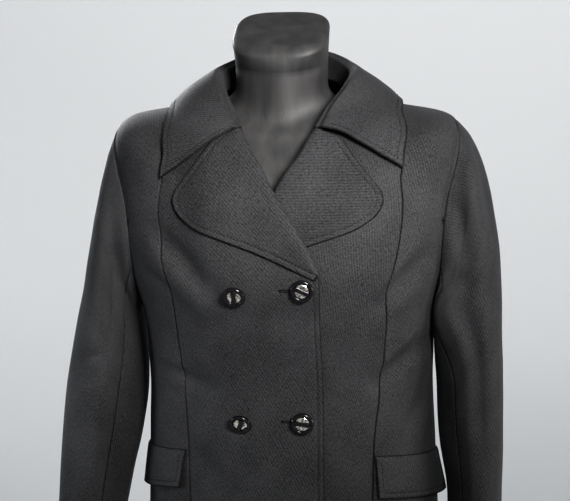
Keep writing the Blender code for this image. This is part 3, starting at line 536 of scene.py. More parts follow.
def twill_finish(name, wale, slope):
    """Black twill: raised diagonal wales of yarn floats, every third a little higher, over uneven yarn."""
    made, bsdf = shader(
        name, Roughness=0.68, Specular_IOR_Level=0.20, Sheen_Weight=0.03, Sheen_Roughness=0.40
    )
    bsdf.inputs["Sheen Tint"].default_value = (0.80, 0.82, 0.88, 1)

    def reckon(operation, *values):
        """The result of a math node on numbers or outputs."""
        return node(made, "ShaderNodeMath", dict(enumerate(values)), operation=operation).outputs[0]

    def stripes(vector, angle, period, shift):
        """0 to 1 and back across stripes of the given period, whose normal lies at the angle."""
        way = (math.cos(angle) / period, math.sin(angle) / period, 0)
        across = node(made, "ShaderNodeVectorMath", {0: vector, 1: way}, operation="DOT_PRODUCT")
        phase = reckon("ADD", across.outputs["Value"], shift)
        return phase, reckon("MULTIPLY", reckon("PINGPONG", phase, 0.5), 2.0)

    def drawn_out(scale):
        """The cloth's own coordinates, stretched so that a noise on them runs along a yarn."""
        return node(made, "ShaderNodeMapping", {"Vector": grain, "Scale": scale}).outputs["Vector"]

    grain = node(made, "ShaderNodeUVMap", uv_map="grain").outputs["UV"]
    wobble = noise(made, grain, 120.0, 2.0)
    phase, ridge = stripes(grain, slope, wale, reckon("MULTIPLY", wobble, 0.6))
    yarn = stripes(grain, slope + QUARTER, wale * 0.62, phase)[1]
    broad = stripes(grain, slope, wale * 3, reckon("MULTIPLY", wobble, 0.5))[1]
    slubs = noise(made, drawn_out((1.0, 0.22, 1.0)), 1150.0, 3.0)
    wefts = noise(made, drawn_out((0.25, 1.0, 1.0)), 1050.0, 3.0)
    weave = reckon("ADD", reckon("MULTIPLY", ridge, 0.7), reckon("MULTIPLY", yarn, 0.3))
    embossed(made, bsdf, reckon("ADD", weave, reckon("MULTIPLY", broad, 0.5)), 0.8, 0.00020)
    # the tone: uneven yarns, the weave and worn patches, and painted shade where the cloth turns under at its
    # edges and seams
    tone = reckon("MULTIPLY_ADD", weave, 0.22, reckon("MULTIPLY", broad, 0.16))
    tone = reckon("MULTIPLY_ADD", reckon("ADD", slubs, wefts), 0.85, tone)
    worn = noise(made, grain, 11.0, 6.0, Roughness=0.65)
    tone = reckon("MULTIPLY_ADD", worn, 0.5, reckon("SUBTRACT", tone, 0.80))
    # painted shade: the colour is darkened towards every piece's edges, where seams and turned edges would
    # lie in shade
    border = node(made, "ShaderNodeAttribute", attribute_name="border").outputs["Fac"]
    tone = reckon("SUBTRACT", tone, reckon("MULTIPLY", reckon("SUBTRACT", 1.0, border), 0.38))
    coloured(made, bsdf, tone, (0.0035, 0.0036, 0.0040), (0.0640, 0.0640, 0.0665), 0.18, 0.90)
    return made


ARMHOLE_FRONT, ARMHOLE_BACK = {1: math.radians(29), -1: math.radians(33)}, math.radians(25)
SIDE_STEPS, ARMHOLE_STEPS = 15, 12


def armhole(side, angle):
    """(turn, up) round the armhole: 0 is its foremost point, a quarter turn the shoulder tip."""
    angle = np.asarray(angle, float)
    ahead = np.cos(angle)
    width = np.where(ahead > 0, ARMHOLE_FRONT[side], ARMHOLE_BACK)
    scoop = np.abs(ahead) ** 0.9 * np.sign(ahead)
    height = (ARMPIT_UP + SHOULDER_UP) / 2 + (SHOULDER_UP - ARMPIT_UP) / 2 * np.sin(angle)
    return np.stack([side * (QUARTER - width * scoop), height], axis=-1)


def side_edge(side, armhole_start):
    """The side seam and, above it, one half of the armhole up to the shoulder tip."""
    low = side * SIDE_SEAM_TURN
    seam = edge([(low, HEM_UP), (low, 0.9), (side * math.radians(94), 1.05), (side * QUARTER, ARMPIT_UP)])
    half_hole = lambda t: armhole(side, armhole_start + (QUARTER - armhole_start) * np.asarray(t, float))
    return joined(seam, half_hole, shares=(SIDE_STEPS, ARMHOLE_STEPS))


twill = twill_finish("black_twill", wale=0.0011, slope=math.radians(25))
PANEL_ROWS = shares(0.86, 0.0040)
HANDS = {1: "left", -1: "right"}
for side, hand in HANDS.items():
    inner = edge([(side * math.pi, HEM_UP), (side * math.pi, 1.0), (side * math.pi, NECK_UP)])
    outer = side_edge(side, 3 * QUARTER)
    bottom = edge([(side * math.pi, HEM_UP), outer(np.array([0.0]))[0]])
    neck = edge([(side * math.pi, NECK_UP), (side * QUARTER, NECK_UP)])
    shoulder = edge([(side * QUARTER, NECK_UP), (side * QUARTER, SHOULDER_UP)])
    top = joined(neck, shoulder, shares=(5, 6))
    grid = between(bottom, top, inner, outer, shares(0.25, 0.0045), PANEL_ROWS)
    first, last, _, high = edge_distances(coat(grid))
    points = coat(grid, turned_in(first) + turned_in(last) + turned_in(high))
    back = cloth(f"back_panel_{hand}", points, twill, straight_grain(points) * [-side, 1], facing=-side)
    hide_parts(f"back_{hand}")

# ---------------------------------------- the side fronts
# The side panels of the front: from the princess seam over the bust to the side seam and the front of the
# armhole. The princess seam is pressed open and ends in the middle of the shoulder seam, under the collar.
LEAN, LEAN_WIDTH = -0.0045, 0.12
PRINCESS = (
    # away from the middle, height, shift towards the wearer's left
    (0.128, 0.600, -0.0030), (0.120, 0.800, -0.0030), (0.115, 0.930, -0.0030), (0.116, 0.990, -0.0030),
    (0.123, 1.073, -0.0010), (0.129, 1.140, 0.0), (0.134, 1.195, 0.0), (0.146, 1.246, 0.0),
    (0.1485, 1.293, 0.0015), (0.1455, 1.330, 0.0025),
)


def spot(x, z):
    """(turn, up) of the point of the coat's front that lies at x, z, found by Newton's steps."""
    aim = np.stack(np.broadcast_arrays(np.asarray(x, float), np.asarray(z, float)), axis=-1)
    found = np.stack([np.arcsin(np.clip(aim[..., 0] / 0.24, -0.9, 0.9)), aim[..., 1]], axis=-1)
    step = 1e-5
    for _ in range(40):
        here = bare(found)[..., [0, 2]]
        by_turn, by_up = ((bare(found + way)[..., [0, 2]] - here) / step for way in np.eye(2) * step)
        miss = aim - here
        area = by_turn[..., 0] * by_up[..., 1] - by_turn[..., 1] * by_up[..., 0]
        turn_step = (miss[..., 0] * by_up[..., 1] - miss[..., 1] * by_up[..., 0]) / area
        up_step = (by_turn[..., 0] * miss[..., 1] - by_turn[..., 1] * miss[..., 0]) / area
        found = found + np.clip(np.stack([turn_step, up_step], axis=-1), [-0.1, -0.02], [0.1, 0.02])
    return found


def measured(side, rows):
    """(turn, up) of points measured as (distance from the middle towards this side, height)."""
    rows = np.array(rows)
    across = side * rows[:, 0] + LEAN * np.clip(1 - rows[:, 0] / LEAN_WIDTH, 0, 2)
    return spot(across, rows[:, 1])


def princess(side):
    """The seam from the hem over the bust to the middle of the shoulder seam."""
    under_collar = math.radians(0.5 if side > 0 else 3.0)
    above = [
        (side * (math.radians(44) - under_collar), 1.398), (side * (math.radians(60) - under_collar), 1.437),
        (side * QUARTER, YOKE_UP),
    ]
    return edge([*measured(side, [(away + side * shift, z) for away, z, shift in PRINCESS]), *above])


for side, hand in HANDS.items():
    inner, outer = princess(side), side_edge(side, -QUARTER)
    bottom = edge([inner(np.array([0.0]))[0], outer(np.array([0.0]))[0]])
    top = edge([(side * QUARTER, YOKE_UP), (side * QUARTER, SHOULDER_UP)])
    grid = between(bottom, top, inner, outer, shares(0.12, 0.0036), PANEL_ROWS)
    first, last, _, high = edge_distances(coat(grid))
    points = coat(grid, turned_in(first) + turned_in(last) + turned_in(high))
    side_front = cloth(f"side_panel_{hand}", points, twill, straight_grain(points) * [side, 1], facing=side)
    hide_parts(f"side_front_{hand}")

# ---------------------------------------- the fronts
# The two centre fronts, lapped double-breasted: the wearer's right lies over the left. Each runs from its
# edge and the roll line of its lapel to the princess seam, and the upper one is topstitched along its edge.
ROLL_LINE = (
    (-0.0585, 1.209), (-0.028, 1.2625), (0.0015, 1.3040), (0.025, 1.340), (0.0455, 1.3735), (0.060, 1.397),
)
FRONT_EDGE = ((-0.0585, 0.600), (-0.0585, 0.900), (-0.0585, 1.100), (-0.0585, 1.209))
EDGE_SHARE = 17 / 29    # how much of the front panel's height is its straight edge, below the roll line
STITCH_IN, STITCH_LONG, STITCH_PITCH, THREAD = 0.0068, 0.0027, 0.0044, 0.00056


def neckline(side):
    """The roll line from the break up, and on round the neck to the shoulder seam."""
    return edge([*measured(side, ROLL_LINE), (side * math.radians(62), 1.521), (side * QUARTER, NECK_UP)])


def overlap_lift(spots):
    """How far the upper front is raised where it lies over the lower one and over the lower lapel."""
    place = bare(spots)
    near_edge = ease(place[..., 0], -0.125, -0.078)
    over_lapel = ease(place[..., 2], 1.150, 1.195) * (1 - ease(place[..., 2], 1.325, 1.385))
    fade_up = 1 - ease(place[..., 2], 1.33, 1.39)
    return near_edge * (0.0042 * fade_up + 0.0050 * over_lapel)


def offset_line(rim, next_in, distance):
    """The rim moved into the cloth by distance, square to itself, towards the points next to it."""
    along = unit(np.gradient(rim, axis=0))
    inward = next_in - rim
    return rim + unit(inward - (inward * along).sum(axis=-1, keepdims=True) * along) * distance


def sewn(points, normals, line, depth=0.0009, width=0.0014):
    """The grid with a fine groove pressed in along a line of stitches."""
    return points - (normals * (depth * np.exp(-((away_from(points, line) / width) ** 2)))[..., None])


def topstitching(name, owner, line):
    """Stitches along a line on a piece: short capsules of thread that dip into the cloth at both ends."""
    mesh = owner.data
    tree = BVHTree.FromPolygons([v.co for v in mesh.vertices], [p.vertices for p in mesh.polygons])
    run = lengths(line)
    middles = np.arange(STITCH_PITCH, run[-1] - STITCH_PITCH / 2, STITCH_PITCH)
    at = lambda s: np.stack([np.interp(s, run, line[:, k]) for k in range(3)], axis=-1)
    hits = [tree.find_nearest(Vector(p)) for p in at(middles)]
    seat = np.array([tuple(hit[0]) for hit in hits])
    up = np.array([tuple(hit[1]) for hit in hits])
    along = at(middles + 0.001) - at(middles - 0.001)
    along = unit(along - (along * up).sum(axis=-1, keepdims=True) * up)
    beside = np.cross(up, along)
    v, angle = np.meshgrid(np.linspace(-1, 1, 7), np.linspace(0, 2 * math.pi, 7)[:-1], indexing="ij")
    fat = THREAD * np.sqrt(np.clip(1 - v**6, 0.02, 1))
    long = v * STITCH_LONG / 2
    high = THREAD * 0.45 - 0.00050 * np.abs(v) ** 3
    points = (
        seat[:, None, None] + along[:, None, None] * long[None, ..., None]
        + beside[:, None, None] * (fat * np.cos(angle))[None, ..., None]
        + up[:, None, None] * (fat * np.sin(angle) + high)[None, ..., None]
    )
    number, first = np.arange(v.size).reshape(v.shape), np.arange(len(seat)) * v.size
    faces = (bands(number, along=True)[None] + first[:, None, None]).reshape(-1, 4)
    caps = np.concatenate([(row[:, None] + first).T for row in (number[0], number[-1, ::-1])])
    piece(name, points, [*faces, *caps], thread)


thread, bsdf = shader("black_thread", Roughness=0.62, Specular_IOR_Level=0.25, Sheen_Weight=0.05)
place = node(thread, "ShaderNodeTexCoord").outputs["Object"]
coloured(thread, bsdf, noise(thread, place, 2500.0, 2.0), (0.0015, 0.0015, 0.0018), (0.0060, 0.0060, 0.0065))

for side, hand in HANDS.items():
    inner = joined(edge(measured(side, FRONT_EDGE)), neckline(side), shares=(EDGE_SHARE, 1 - EDGE_SHARE))
    outer = princess(side)
    bottom = edge([inner(np.array([0.0]))[0], outer(np.array([0.0]))[0]])
    top = edge([(side * QUARTER, NECK_UP), (side * QUARTER, YOKE_UP)])
    columns = shares(0.18, 0.0040, at=np.array([0.0055, 0.0068, 0.0081]) / 0.18)
    grid = between(bottom, top, inner, outer, columns, PANEL_ROWS)
    raised = overlap_lift(grid) if side < 0 else 0.0
    first, last, _, high = edge_distances(coat(grid, raised))
    lift = raised + turned_in(last) + turned_in(high) + turned_in(first, 0.0007, 0.0030)
    points = coat(grid, lift)
    rows_below = PANEL_ROWS <= EDGE_SHARE
    line = offset_line(points[rows_below, 0], points[rows_below, 6], STITCH_IN)
    if side < 0:
        points = sewn(points, grid_normals(points) * side, line)
    front = cloth(f"front_panel_{hand}", points, twill, straight_grain(points) * [side, 1], facing=side)
    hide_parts(f"front_{hand}")
    if side < 0:
        topstitching("front_edge_stitches", front, line[:-2])

# ---------------------------------------- the lapels
# The turned-back fronts: wide, with round tips, wrapped over the roll line and pressed flat on the panels,
# two layers of twill turned out at the edge and topstitched along it.
LAPEL_EDGE = (
    (-0.0580, 1.2045), (-0.032, 1.2165), (0.008, 1.2340), (0.0335, 1.2435), (0.056, 1.251), (0.074, 1.257),
    (0.090, 1.2625), (0.106, 1.2715), (0.1205, 1.284), (0.1265, 1.299), (0.1225, 1.311), (0.112, 1.3235),
    (0.0925, 1.347), (0.0700, 1.3712),
)
LAPEL_SECTION = np.array([
    # share of the width, way past the roll line, height over the panel
    (0.00, -0.0044, -0.0015), (0.00, -0.0042, 0.0022), (0.00, -0.0014, 0.0054), (0.05, 0.0, 0.0064),
    (0.16, 0.0, 0.0066), (0.32, 0.0, 0.0059), (0.50, 0.0, 0.0053), (0.68, 0.0, 0.0049),
    (0.84, 0.0, 0.0046), (1.00, 0.0, 0.0043),
])
GORGE_Z = 1.3780


def gorge_share(side):
    """The share of the neckline at which the collar meets the lapel."""
    steps = np.linspace(0, 1, 1000)
    return steps[np.argmin(np.abs(bare(neckline(side)(steps))[:, 2] - GORGE_Z))]


def lapel_points(side, t, s):
    """The lapel's face: s goes through its section from roll to edge, t from the break to the gorge."""
    whole_roll, share = neckline(side), gorge_share(side)
    brim = edge(measured(side, LAPEL_EDGE))
    knots = np.arange(len(LAPEL_SECTION), dtype=float)
    width_share, way, height = (smooth(s, knots, LAPEL_SECTION[:, k]) for k in range(3))
    pressed = (0.40 + 0.60 * ease(t, 0.0, 0.16) if side < 0 else 0.72 + 0.28 * ease(t, 0.5, 0.75))[:, None]
    roll, rim = whole_roll(t * share), brim(t)
    grid = roll[:, None] + np.clip(width_share, 0, 1)[None, :, None] * (rim - roll)[:, None]
    base = overlap_lift(grid) if side < 0 else 0.0
    points = coat(grid, base + height * pressed)
    width = unit(bare(rim) - bare(roll))
    return points + (way[None, :] * pressed)[..., None] * width[:, None]


for side, hand in HANDS.items():
    rows = 0.02 + 0.98 * shares(0.26, 0.0026)
    columns = 9 * shares(0.13, 0.0024, at=[0.02, 0.05, 0.09, 0.14, 0.18, 0.22, 0.26, 0.30, 0.34])
    points = lapel_points(side, rows, columns)
    line = offset_line(points[:, -1], points[:, -8], STITCH_IN)
    points = sewn(points, grid_normals(points) * side, line)
    lean = math.radians(-65 if side > 0 else -18)
    ahead, side_way = math.cos(lean), math.sin(lean)
    grain = points[..., [0, 2]] @ np.array([[ahead, side_way], [-side_way, ahead]])
    lapel = cloth(f"lapel_cloth_{hand}", points, twill, grain, thickness=0.0024, facing=side)
    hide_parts(f"lapel_{hand}")
    topstitching(f"lapel_stitches_{hand}", lapel, line[2:-2])

# ---------------------------------------- the collar
# A wide notched collar in one piece with its stand: it rises from the neck seam, folds over and falls on the
# shoulders, two layers turned out at the edge and topstitched all round its fall.
COLLAR_FRONT = {
    1: ((0.0705, 1.3735), (0.0980, 1.3614), (0.1236, 1.3481), (0.1488, 1.3343)),
    -1: ((0.0662, 1.3685), (0.0915, 1.3535), (0.1170, 1.3385), (0.1420, 1.3235)),
}
COLLAR_BRIM = {
    1: ((39.1, 1.3709), (46, 1.4037), (61, 1.4360), (90, 1.4510), (120, 1.448), (150, 1.439), (180, 1.435)),
    -1: ((37.0, 1.3754), (47.7, 1.4188), (62, 1.4407), (90, 1.4515), (120, 1.448), (150, 1.439)),
}
COLLAR_SECTION = np.array([
    # share of the fall, way out from the neck seam, share of the stand's height
    (0.00, -0.0046, -0.06), (0.00, -0.0046, 0.45), (0.00, -0.0036, 0.86), (0.00, -0.0004, 1.00),
    (0.05, 0.0020, 0.99), (0.14, 0.0020, 0.95), (0.28, 0.0010, 0.84), (0.46, 0.0, 0.69),
    (0.66, 0.0, 0.48), (0.84, 0.0, 0.25), (1.00, 0.0, 0.04),
])


def collar_points(t, s):
    """The collar's face: t goes round the neck from the left notch to the right, s through its section."""
    left, right, gorge = neckline(1), neckline(-1), gorge_share(1)
    round_body = np.array([2 * math.pi, 0])

    def inner(t):
        """The neck seam: up the left neckline, round the back of the neck, down the right neckline."""
        t = np.asarray(t, float)
        around = np.clip((t - 0.24) / 0.52, 0, 1)
        behind = np.stack([QUARTER + around * math.pi, np.full(t.shape, NECK_UP)], axis=-1)
        ahead = left(gorge + (1 - gorge) * np.clip(t / 0.24, 0, 1))
        other = right(gorge + (1 - gorge) * np.clip((1 - t) / 0.24, 0, 1)) + round_body
        return np.where((t < 0.24)[..., None], ahead, np.where((t > 0.76)[..., None], other, behind))

    ahead, other_ahead = measured(1, COLLAR_FRONT[1]), measured(-1, COLLAR_FRONT[-1]) + round_body
    tip, other_tip = ahead[-1], other_ahead[-1]
    half = [(math.radians(turn), up) for turn, up in COLLAR_BRIM[1]]
    other_half = [(2 * math.pi - math.radians(turn), up) for turn, up in COLLAR_BRIM[-1][::-1]]
    outer = edge([tip, *half, *other_half, other_tip])
    ends = [inner(np.array([0.0]))[0], inner(np.array([1.0]))[0]]
    first, last = edge([ends[0], *ahead]), edge([ends[1], *other_ahead])
    knots = np.arange(len(COLLAR_SECTION), dtype=float)
    fall, way, height = (smooth(s, knots, COLLAR_SECTION[:, k]) for k in range(3))
    u, v = np.meshgrid(np.clip(fall, 0, 1), t)
    u1, v1 = u[..., None], v[..., None]
    corners = (
        (1 - u1) * (1 - v1) * ends[0] + (1 - u1) * v1 * ends[1] + u1 * (1 - v1) * tip + u1 * v1 * other_tip
    )
    grid = (1 - u1) * inner(v) + u1 * outer(v) + (1 - v1) * first(u) + v1 * last(u) - corners
    around = np.abs(2 * t - 1)
    stand = 0.0060 + 0.0200 * (1 - ease(around, 0.42, 0.98)) + 0.0110 * (1 - ease(around, 0.0, 0.5))
    raised = np.where(grid[..., 0] > math.pi, overlap_lift(grid), 0.0)
    points = coat(grid, raised + 0.0060 * ease(s, 3.0, 4.0))
    rest = inner(t)
    out = unit(bare(outer(t)) - bare(rest))
    facing = outward(bare, rest)
    level = ease(around, 0.35, 0.95)[:, None]
    rise = unit(level * facing + (1 - level) * np.array([0, 0, 1.0]))
    points = points + way[None, :, None] * out[:, None]
    return points + (stand[:, None] * height[None, :])[..., None] * rise[:, None]


rows = shares(0.60, 0.0030)
columns = 10 * shares(0.13, 0.0024, at=[0.03, 0.08, 0.13, 0.18, 0.23, 0.27, 0.30, 0.33, 0.36, 0.40])
points = collar_points(rows, columns)
fall_start = int(np.searchsorted(columns, 4.4))
CORNER = 0.0069    # stitches turn the corner here, a stitch line's depth from both edges
brim_line = offset_line(points[:, -1], points[:, -8], STITCH_IN)
run = lengths(brim_line)
brim_line = brim_line[(run > CORNER) & (run < run[-1] - CORNER)]
front_lines = [
    offset_line(points[0, fall_start:], points[8, fall_start:], STITCH_IN),
    offset_line(points[-1, fall_start:], points[-9, fall_start:], STITCH_IN),
]
front_lines = [line[np.linalg.norm(line - line[-1], axis=-1) > CORNER] for line in front_lines]
normals = grid_normals(points)
for line in (brim_line, *front_lines):
    points = sewn(points, normals, line)
grain = straight_grain(points.transpose(1, 0, 2)).transpose(1, 0, 2) * [1, -1]
collar = cloth("collar_cloth", points, twill, grain, thickness=0.0024, facing=1)
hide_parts("collar")
topstitching("collar_stitches_brim", collar, brim_line)
for line, hand in zip(front_lines, ("left", "right")):
    topstitching(f"collar_stitches_{hand}", collar, line)

# ---------------------------------------- the sleeves
# Two-piece set-in sleeves, hanging empty and rather flat: the upper sleeve is joined to the under sleeve at
# the front and at the back of the arm, and both are eased into the armhole.
SLEEVES = {
    # outer_x, outer_z, inner_x, inner_z, half_depth, mid_y
    1: (
        (0.2100, 1.3850, 0.1880, 1.1500, 0.064, -0.008), (0.2305, 1.3610, 0.1910, 1.1370, 0.070, -0.009),
        (0.2460, 1.3270, 0.1895, 1.1180, 0.073, -0.009), (0.2580, 1.2750, 0.1880, 1.0930, 0.074, -0.009),
        (0.2670, 1.2070, 0.1870, 1.0630, 0.075, -0.010), (0.2695, 1.1240, 0.1875, 1.0240, 0.073, -0.012),
        (0.2700, 1.0350, 0.1905, 0.9750, 0.069, -0.016), (0.2690, 0.9450, 0.2000, 0.9150, 0.066, -0.021),
        (0.2670, 0.8600, 0.2000, 0.8500, 0.062, -0.027), (0.2640, 0.7950, 0.2020, 0.7950, 0.060, -0.033),
    ),
    -1: (
        (0.2100, 1.3850, 0.1880, 1.1500, 0.062, -0.006), (0.2225, 1.3520, 0.1930, 1.1370, 0.067, -0.007),
        (0.2368, 1.3080, 0.1915, 1.1170, 0.071, -0.008), (0.2492, 1.2440, 0.1895, 1.0900, 0.074, -0.009),
        (0.2622, 1.1760, 0.1885, 1.0580, 0.075, -0.010), (0.2780, 1.1050, 0.1905, 1.0180, 0.073, -0.012),
        (0.2925, 1.0250, 0.1990, 0.9700, 0.069, -0.016), (0.3008, 0.9400, 0.2120, 0.9150, 0.066, -0.021),
        (0.3062, 0.8600, 0.2250, 0.8500, 0.062, -0.027), (0.3095, 0.7950, 0.2330, 0.7950, 0.060, -0.033),
    ),
}
SLEEVE_FRONT_SEAM, SLEEVE_BACK_SEAM, HEAD_BLEND = math.radians(-30), math.radians(210), 0.22
FRONT_POWER, INWARD, DEPTH_LEAN = 1.45, {1: 0.0235, -1: 0.0030}, {1: 0.42, -1: 0.10}
SLEEVE_FOLDS = {
    # angle and way down at both ends, half width, height
    1: (
        (42, 0.07, 36, 0.34, 0.011, 0.0040), (14, 0.06, 8, 0.36, 0.013, -0.0095),
        (8, 0.36, 20, 0.74, 0.017, -0.0095), (-24, 0.18, -20, 0.46, 0.009, 0.0030),
        (70, 0.10, 62, 0.40, 0.014, -0.0030), (-8, 0.34, 6, 0.60, 0.012, 0.0022),
        (30, 0.50, 60, 0.58, 0.014, -0.0020), (25, 0.62, 40, 0.90, 0.014, -0.0018),
        (130, 0.12, 125, 0.42, 0.016, -0.0035), (150, 0.46, 110, 0.54, 0.014, -0.0028),
        (160, 0.60, 140, 0.66, 0.010, 0.0018), (100, 0.62, 105, 0.92, 0.018, 0.0020),
    ),
    -1: (
        (50, 0.05, 36, 0.30, 0.014, 0.0022), (15, 0.08, 5, 0.28, 0.012, -0.0026),
        (10, 0.50, 45, 0.58, 0.010, -0.0046), (2, 0.20, 6, 0.56, 0.012, -0.0070),
        (0, 0.56, 30, 0.62, 0.007, 0.0018), (20, 0.66, 35, 0.92, 0.014, -0.0036),
        (70, 0.30, 66, 0.62, 0.020, 0.0016), (128, 0.12, 122, 0.42, 0.016, -0.0035),
        (155, 0.48, 112, 0.55, 0.014, -0.0028), (150, 0.60, 130, 0.66, 0.010, 0.0016),
        (95, 0.62, 100, 0.92, 0.018, 0.0020),
    ),
}


def sleeve_points(side, angle, down, lift=0.0):
    """Rounded sections swept down the arm: angle goes round as on the armhole, and down is 1 at the cuff."""
    rows = np.array(SLEEVES[side])
    knots = np.linspace(0, 1, len(rows))

    def plain(a, w):
        """The section at w, with its slack front hollowed, drawn in below the armpit and leaned back."""
        outer_x, outer_z, inner_x, inner_z, depth, mid_y = (smooth(w, knots, rows[:, k]) for k in range(6))
        rise, ahead = np.sin(a), np.cos(a)
        worn = ease(w, 0.06, 0.24)
        slack = worn * ease(-rise, -0.25, 0.25) * ease(ahead, -0.2, 0.3)
        power = 2.3 - (2.3 - FRONT_POWER) * slack
        reach = box_reach(rise, ahead, power)
        z = (outer_z + inner_z) / 2 + (outer_z - inner_z) / 2 * rise * reach
        skew = INWARD[side] * np.clip(ahead, 0, 1) * (1 - ease(z, 1.145, 1.215)) * (1 - ease(w, 0.36, 0.56))
        x = side * ((outer_x + inner_x) / 2 + (outer_x - inner_x) / 2 * rise * reach - skew)
        leaning = 1 - DEPTH_LEAN[side] * ease(w, 0.20, 0.45) * np.clip((1 - rise) / 2, 0, 1) * (ahead > 0)
        return np.stack([x, mid_y - depth * ahead * reach * leaning, z], axis=-1)

    def headed(spots):
        """The plain sleeve, moved so that it starts at the armhole, and less and less further down."""
        a, w = spots[..., 0], spots[..., 1]
        start = bare(armhole(side, a)) + np.array([side * 0.0008, 0, 0])
        fade = (1 - ease(w, 0, HEAD_BLEND))[..., None]
        return plain(a, w) + (start - plain(a, np.zeros_like(w))) * fade

    spots = np.stack(np.broadcast_arrays(angle, down), axis=-1)
    facing = outward(headed, spots) * -side
    facing[..., 0] *= ease(down, -0.001, 0.06)
    facing = unit(facing)
    return headed(spots) + facing * np.asarray(lift)[..., None], facing


def sleeve_cloth(side, name, start, end, steps):
    """Part of a sleeve between two of its seams, with its folds raised and its seams rolled in."""
    angle, down = np.meshgrid(start + (end - start) * steps, shares(0.60, 0.0036))
    points, facing = sleeve_points(side, angle, down)
    height = ripple(points)
    for angle_1, down_1, angle_2, down_2, width, rise in SLEEVE_FOLDS[side]:
        share = np.linspace(0, 1, 12)
        turns = np.radians(angle_1 + (angle_2 - angle_1) * share)
        line, _ = sleeve_points(side, turns, down_1 + (down_2 - down_1) * share)
        along = np.clip((down - down_1) / (down_2 - down_1), 0, 1)
        bell = np.exp(-((away_from(points, line) / width) ** 2))
        height = height + rise * bell * (0.5 + 0.5 * np.sin(np.pi * along))
    first, last, head, _ = edge_distances(points)
    height = height + turned_in(first) + turned_in(last) + turned_in(head, 0.0030, 0.0046)
    points = points + facing * height[..., None]
    return cloth(name, points, twill, straight_grain(points) * [side, -1], facing=-side)


for side, hand in HANDS.items():
    seams = SLEEVE_FRONT_SEAM, SLEEVE_BACK_SEAM, SLEEVE_FRONT_SEAM + 2 * math.pi
    upper = sleeve_cloth(side, f"upper_sleeve_{hand}", *seams[:2], shares(0.26, 0.0040))
    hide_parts(f"sleeve_upper_{hand}")
    under = sleeve_cloth(side, f"under_sleeve_{hand}", *seams[1:], shares(0.13, 0.0040))
    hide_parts(f"sleeve_under_{hand}")

    # the tape inside the armhole: a narrow strip under both edges of the seam, all round it
    angle, share = np.meshgrid(np.linspace(0, 2 * math.pi, 121), np.linspace(0, 1, 5))
    hole = armhole(side, angle)
    middle = np.array([side * QUARTER, (ARMPIT_UP + SHOULDER_UP) / 2])
    on_body = coat(middle + (hole - middle) * [1.10, 1.045], -0.0030)
    on_sleeve, _ = sleeve_points(side, angle, np.full_like(angle, 0.010), np.full_like(angle, -0.0026))
    strip = on_body + share[..., None] * (on_sleeve - on_body)
    tape = cloth(f"armhole_tape_{hand}", strip, twill, straight_grain(strip), thickness=0.0010, facing=side)

# ---------------------------------------- the pocket flaps
# Flaps over the hip pockets: two layers of twill sewn into the seam at the top, standing off the cloth a
# little at the foot, and topstitched on the three free sides.
FLAPS = {
    1: ((35.9, 0.9795), (91, 0.9620), (36.8, 0.9265), (92, 0.9060)),
    -1: ((38.9, 0.9830), (91, 0.9680), (41.2, 0.9345), (92, 0.9120)),
}
for side, hand in HANDS.items():
    corners = [(side * math.radians(turn), up) for turn, up in FLAPS[side]]
    top, foot = edge(corners[:2]), edge(corners[2:])
    u, t = np.meshgrid(shares(0.13, 0.0022), shares(0.053, 0.0020))
    grid = (1 - t[..., None]) * top(u) + t[..., None] * foot(u)
    lift = CLOTH + 0.0006 + 0.0035 * t + (0.0055 if side > 0 else 0.0030) * t * ease(u, 0.5, 1.0)
    lift = lift + 0.0006 * np.sin(np.pi * u) * t - 0.0016 * np.clip(1 - t * 0.053 / 0.005, 0, 1) ** 2
    points = coat(grid, lift)
    sides = [
        offset_line(points[:, 0], points[:, 7], STITCH_IN), offset_line(points[-1], points[-8], STITCH_IN),
        offset_line(points[::-1, -1], points[::-1, -8], STITCH_IN),
    ]
    away = lambda line, start, end: line[
        (np.linalg.norm(line - line[0], axis=-1) >= start) & (np.linalg.norm(line - line[-1], axis=-1) >= end)
    ]
    gaps = (0.003, STITCH_IN), (STITCH_IN, STITCH_IN), (STITCH_IN, 0.003)
    line = np.concatenate([away(line, *gap) for line, gap in zip(sides, gaps)])
    points = sewn(points, grid_normals(points) * -side, line)
    flap = cloth(f"flap_{hand}", points, twill, straight_grain(points), thickness=0.0024, facing=-side)
    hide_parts(f"pocket_flap_{hand}")
    topstitching(f"flap_stitches_{hand}", flap, line)

# ---------------------------------------- the buttons
# Four shank buttons of polished black plastic, each with a raised rim round a pale metal disc, and a black
# bar across the disc. They are sewn on by a loop under the bar.
BUTTON_RADIUS = 0.0136
BUTTONS = (
    # x, z, slant of the bar and droop, both in degrees
    (-0.0485, 1.1908, 84, 20), (0.0314, 1.1965, -26, 3), (-0.0475, 1.0257, 70, 32), (0.0268, 1.0256, -8, 8),
)
polished, bsdf = shader(
    "polished_black", Roughness=0.14, Specular_IOR_Level=0.28, Coat_Weight=0.10, Coat_Roughness=0.04
)
place = node(polished, "ShaderNodeTexCoord").outputs["Object"]
coloured(polished, bsdf, noise(polished, place, 220.0, 3.0), (0.004, 0.004, 0.005), (0.012, 0.010, 0.011))
pale_metal, bsdf = shader("pale_metal", Metallic=1.0, Roughness=0.22, Specular_IOR_Level=0.5)
place = node(pale_metal, "ShaderNodeTexCoord").outputs["Object"]
# painted reflection: patches of near black and pale colour on the metal stand in for the dark and bright
# reflections of a polished disc; the same noise also gives a fine relief
relief_and_painted_reflection = noise(pale_metal, place, 330.0, 3.0)
coloured(pale_metal, bsdf, relief_and_painted_reflection, (0.060, 0.055, 0.050), (0.74, 0.70, 0.64), 0.36, 0.60)
embossed(pale_metal, bsdf, relief_and_painted_reflection, 0.25, 0.0001)


def standing(x, y, z, place):
    """The matrix of a thing that stands at a place, with its own axes along x, y and z."""
    return Matrix([*([x[i], y[i], z[i], place[i]] for i in range(3)), [0, 0, 0, 1]])


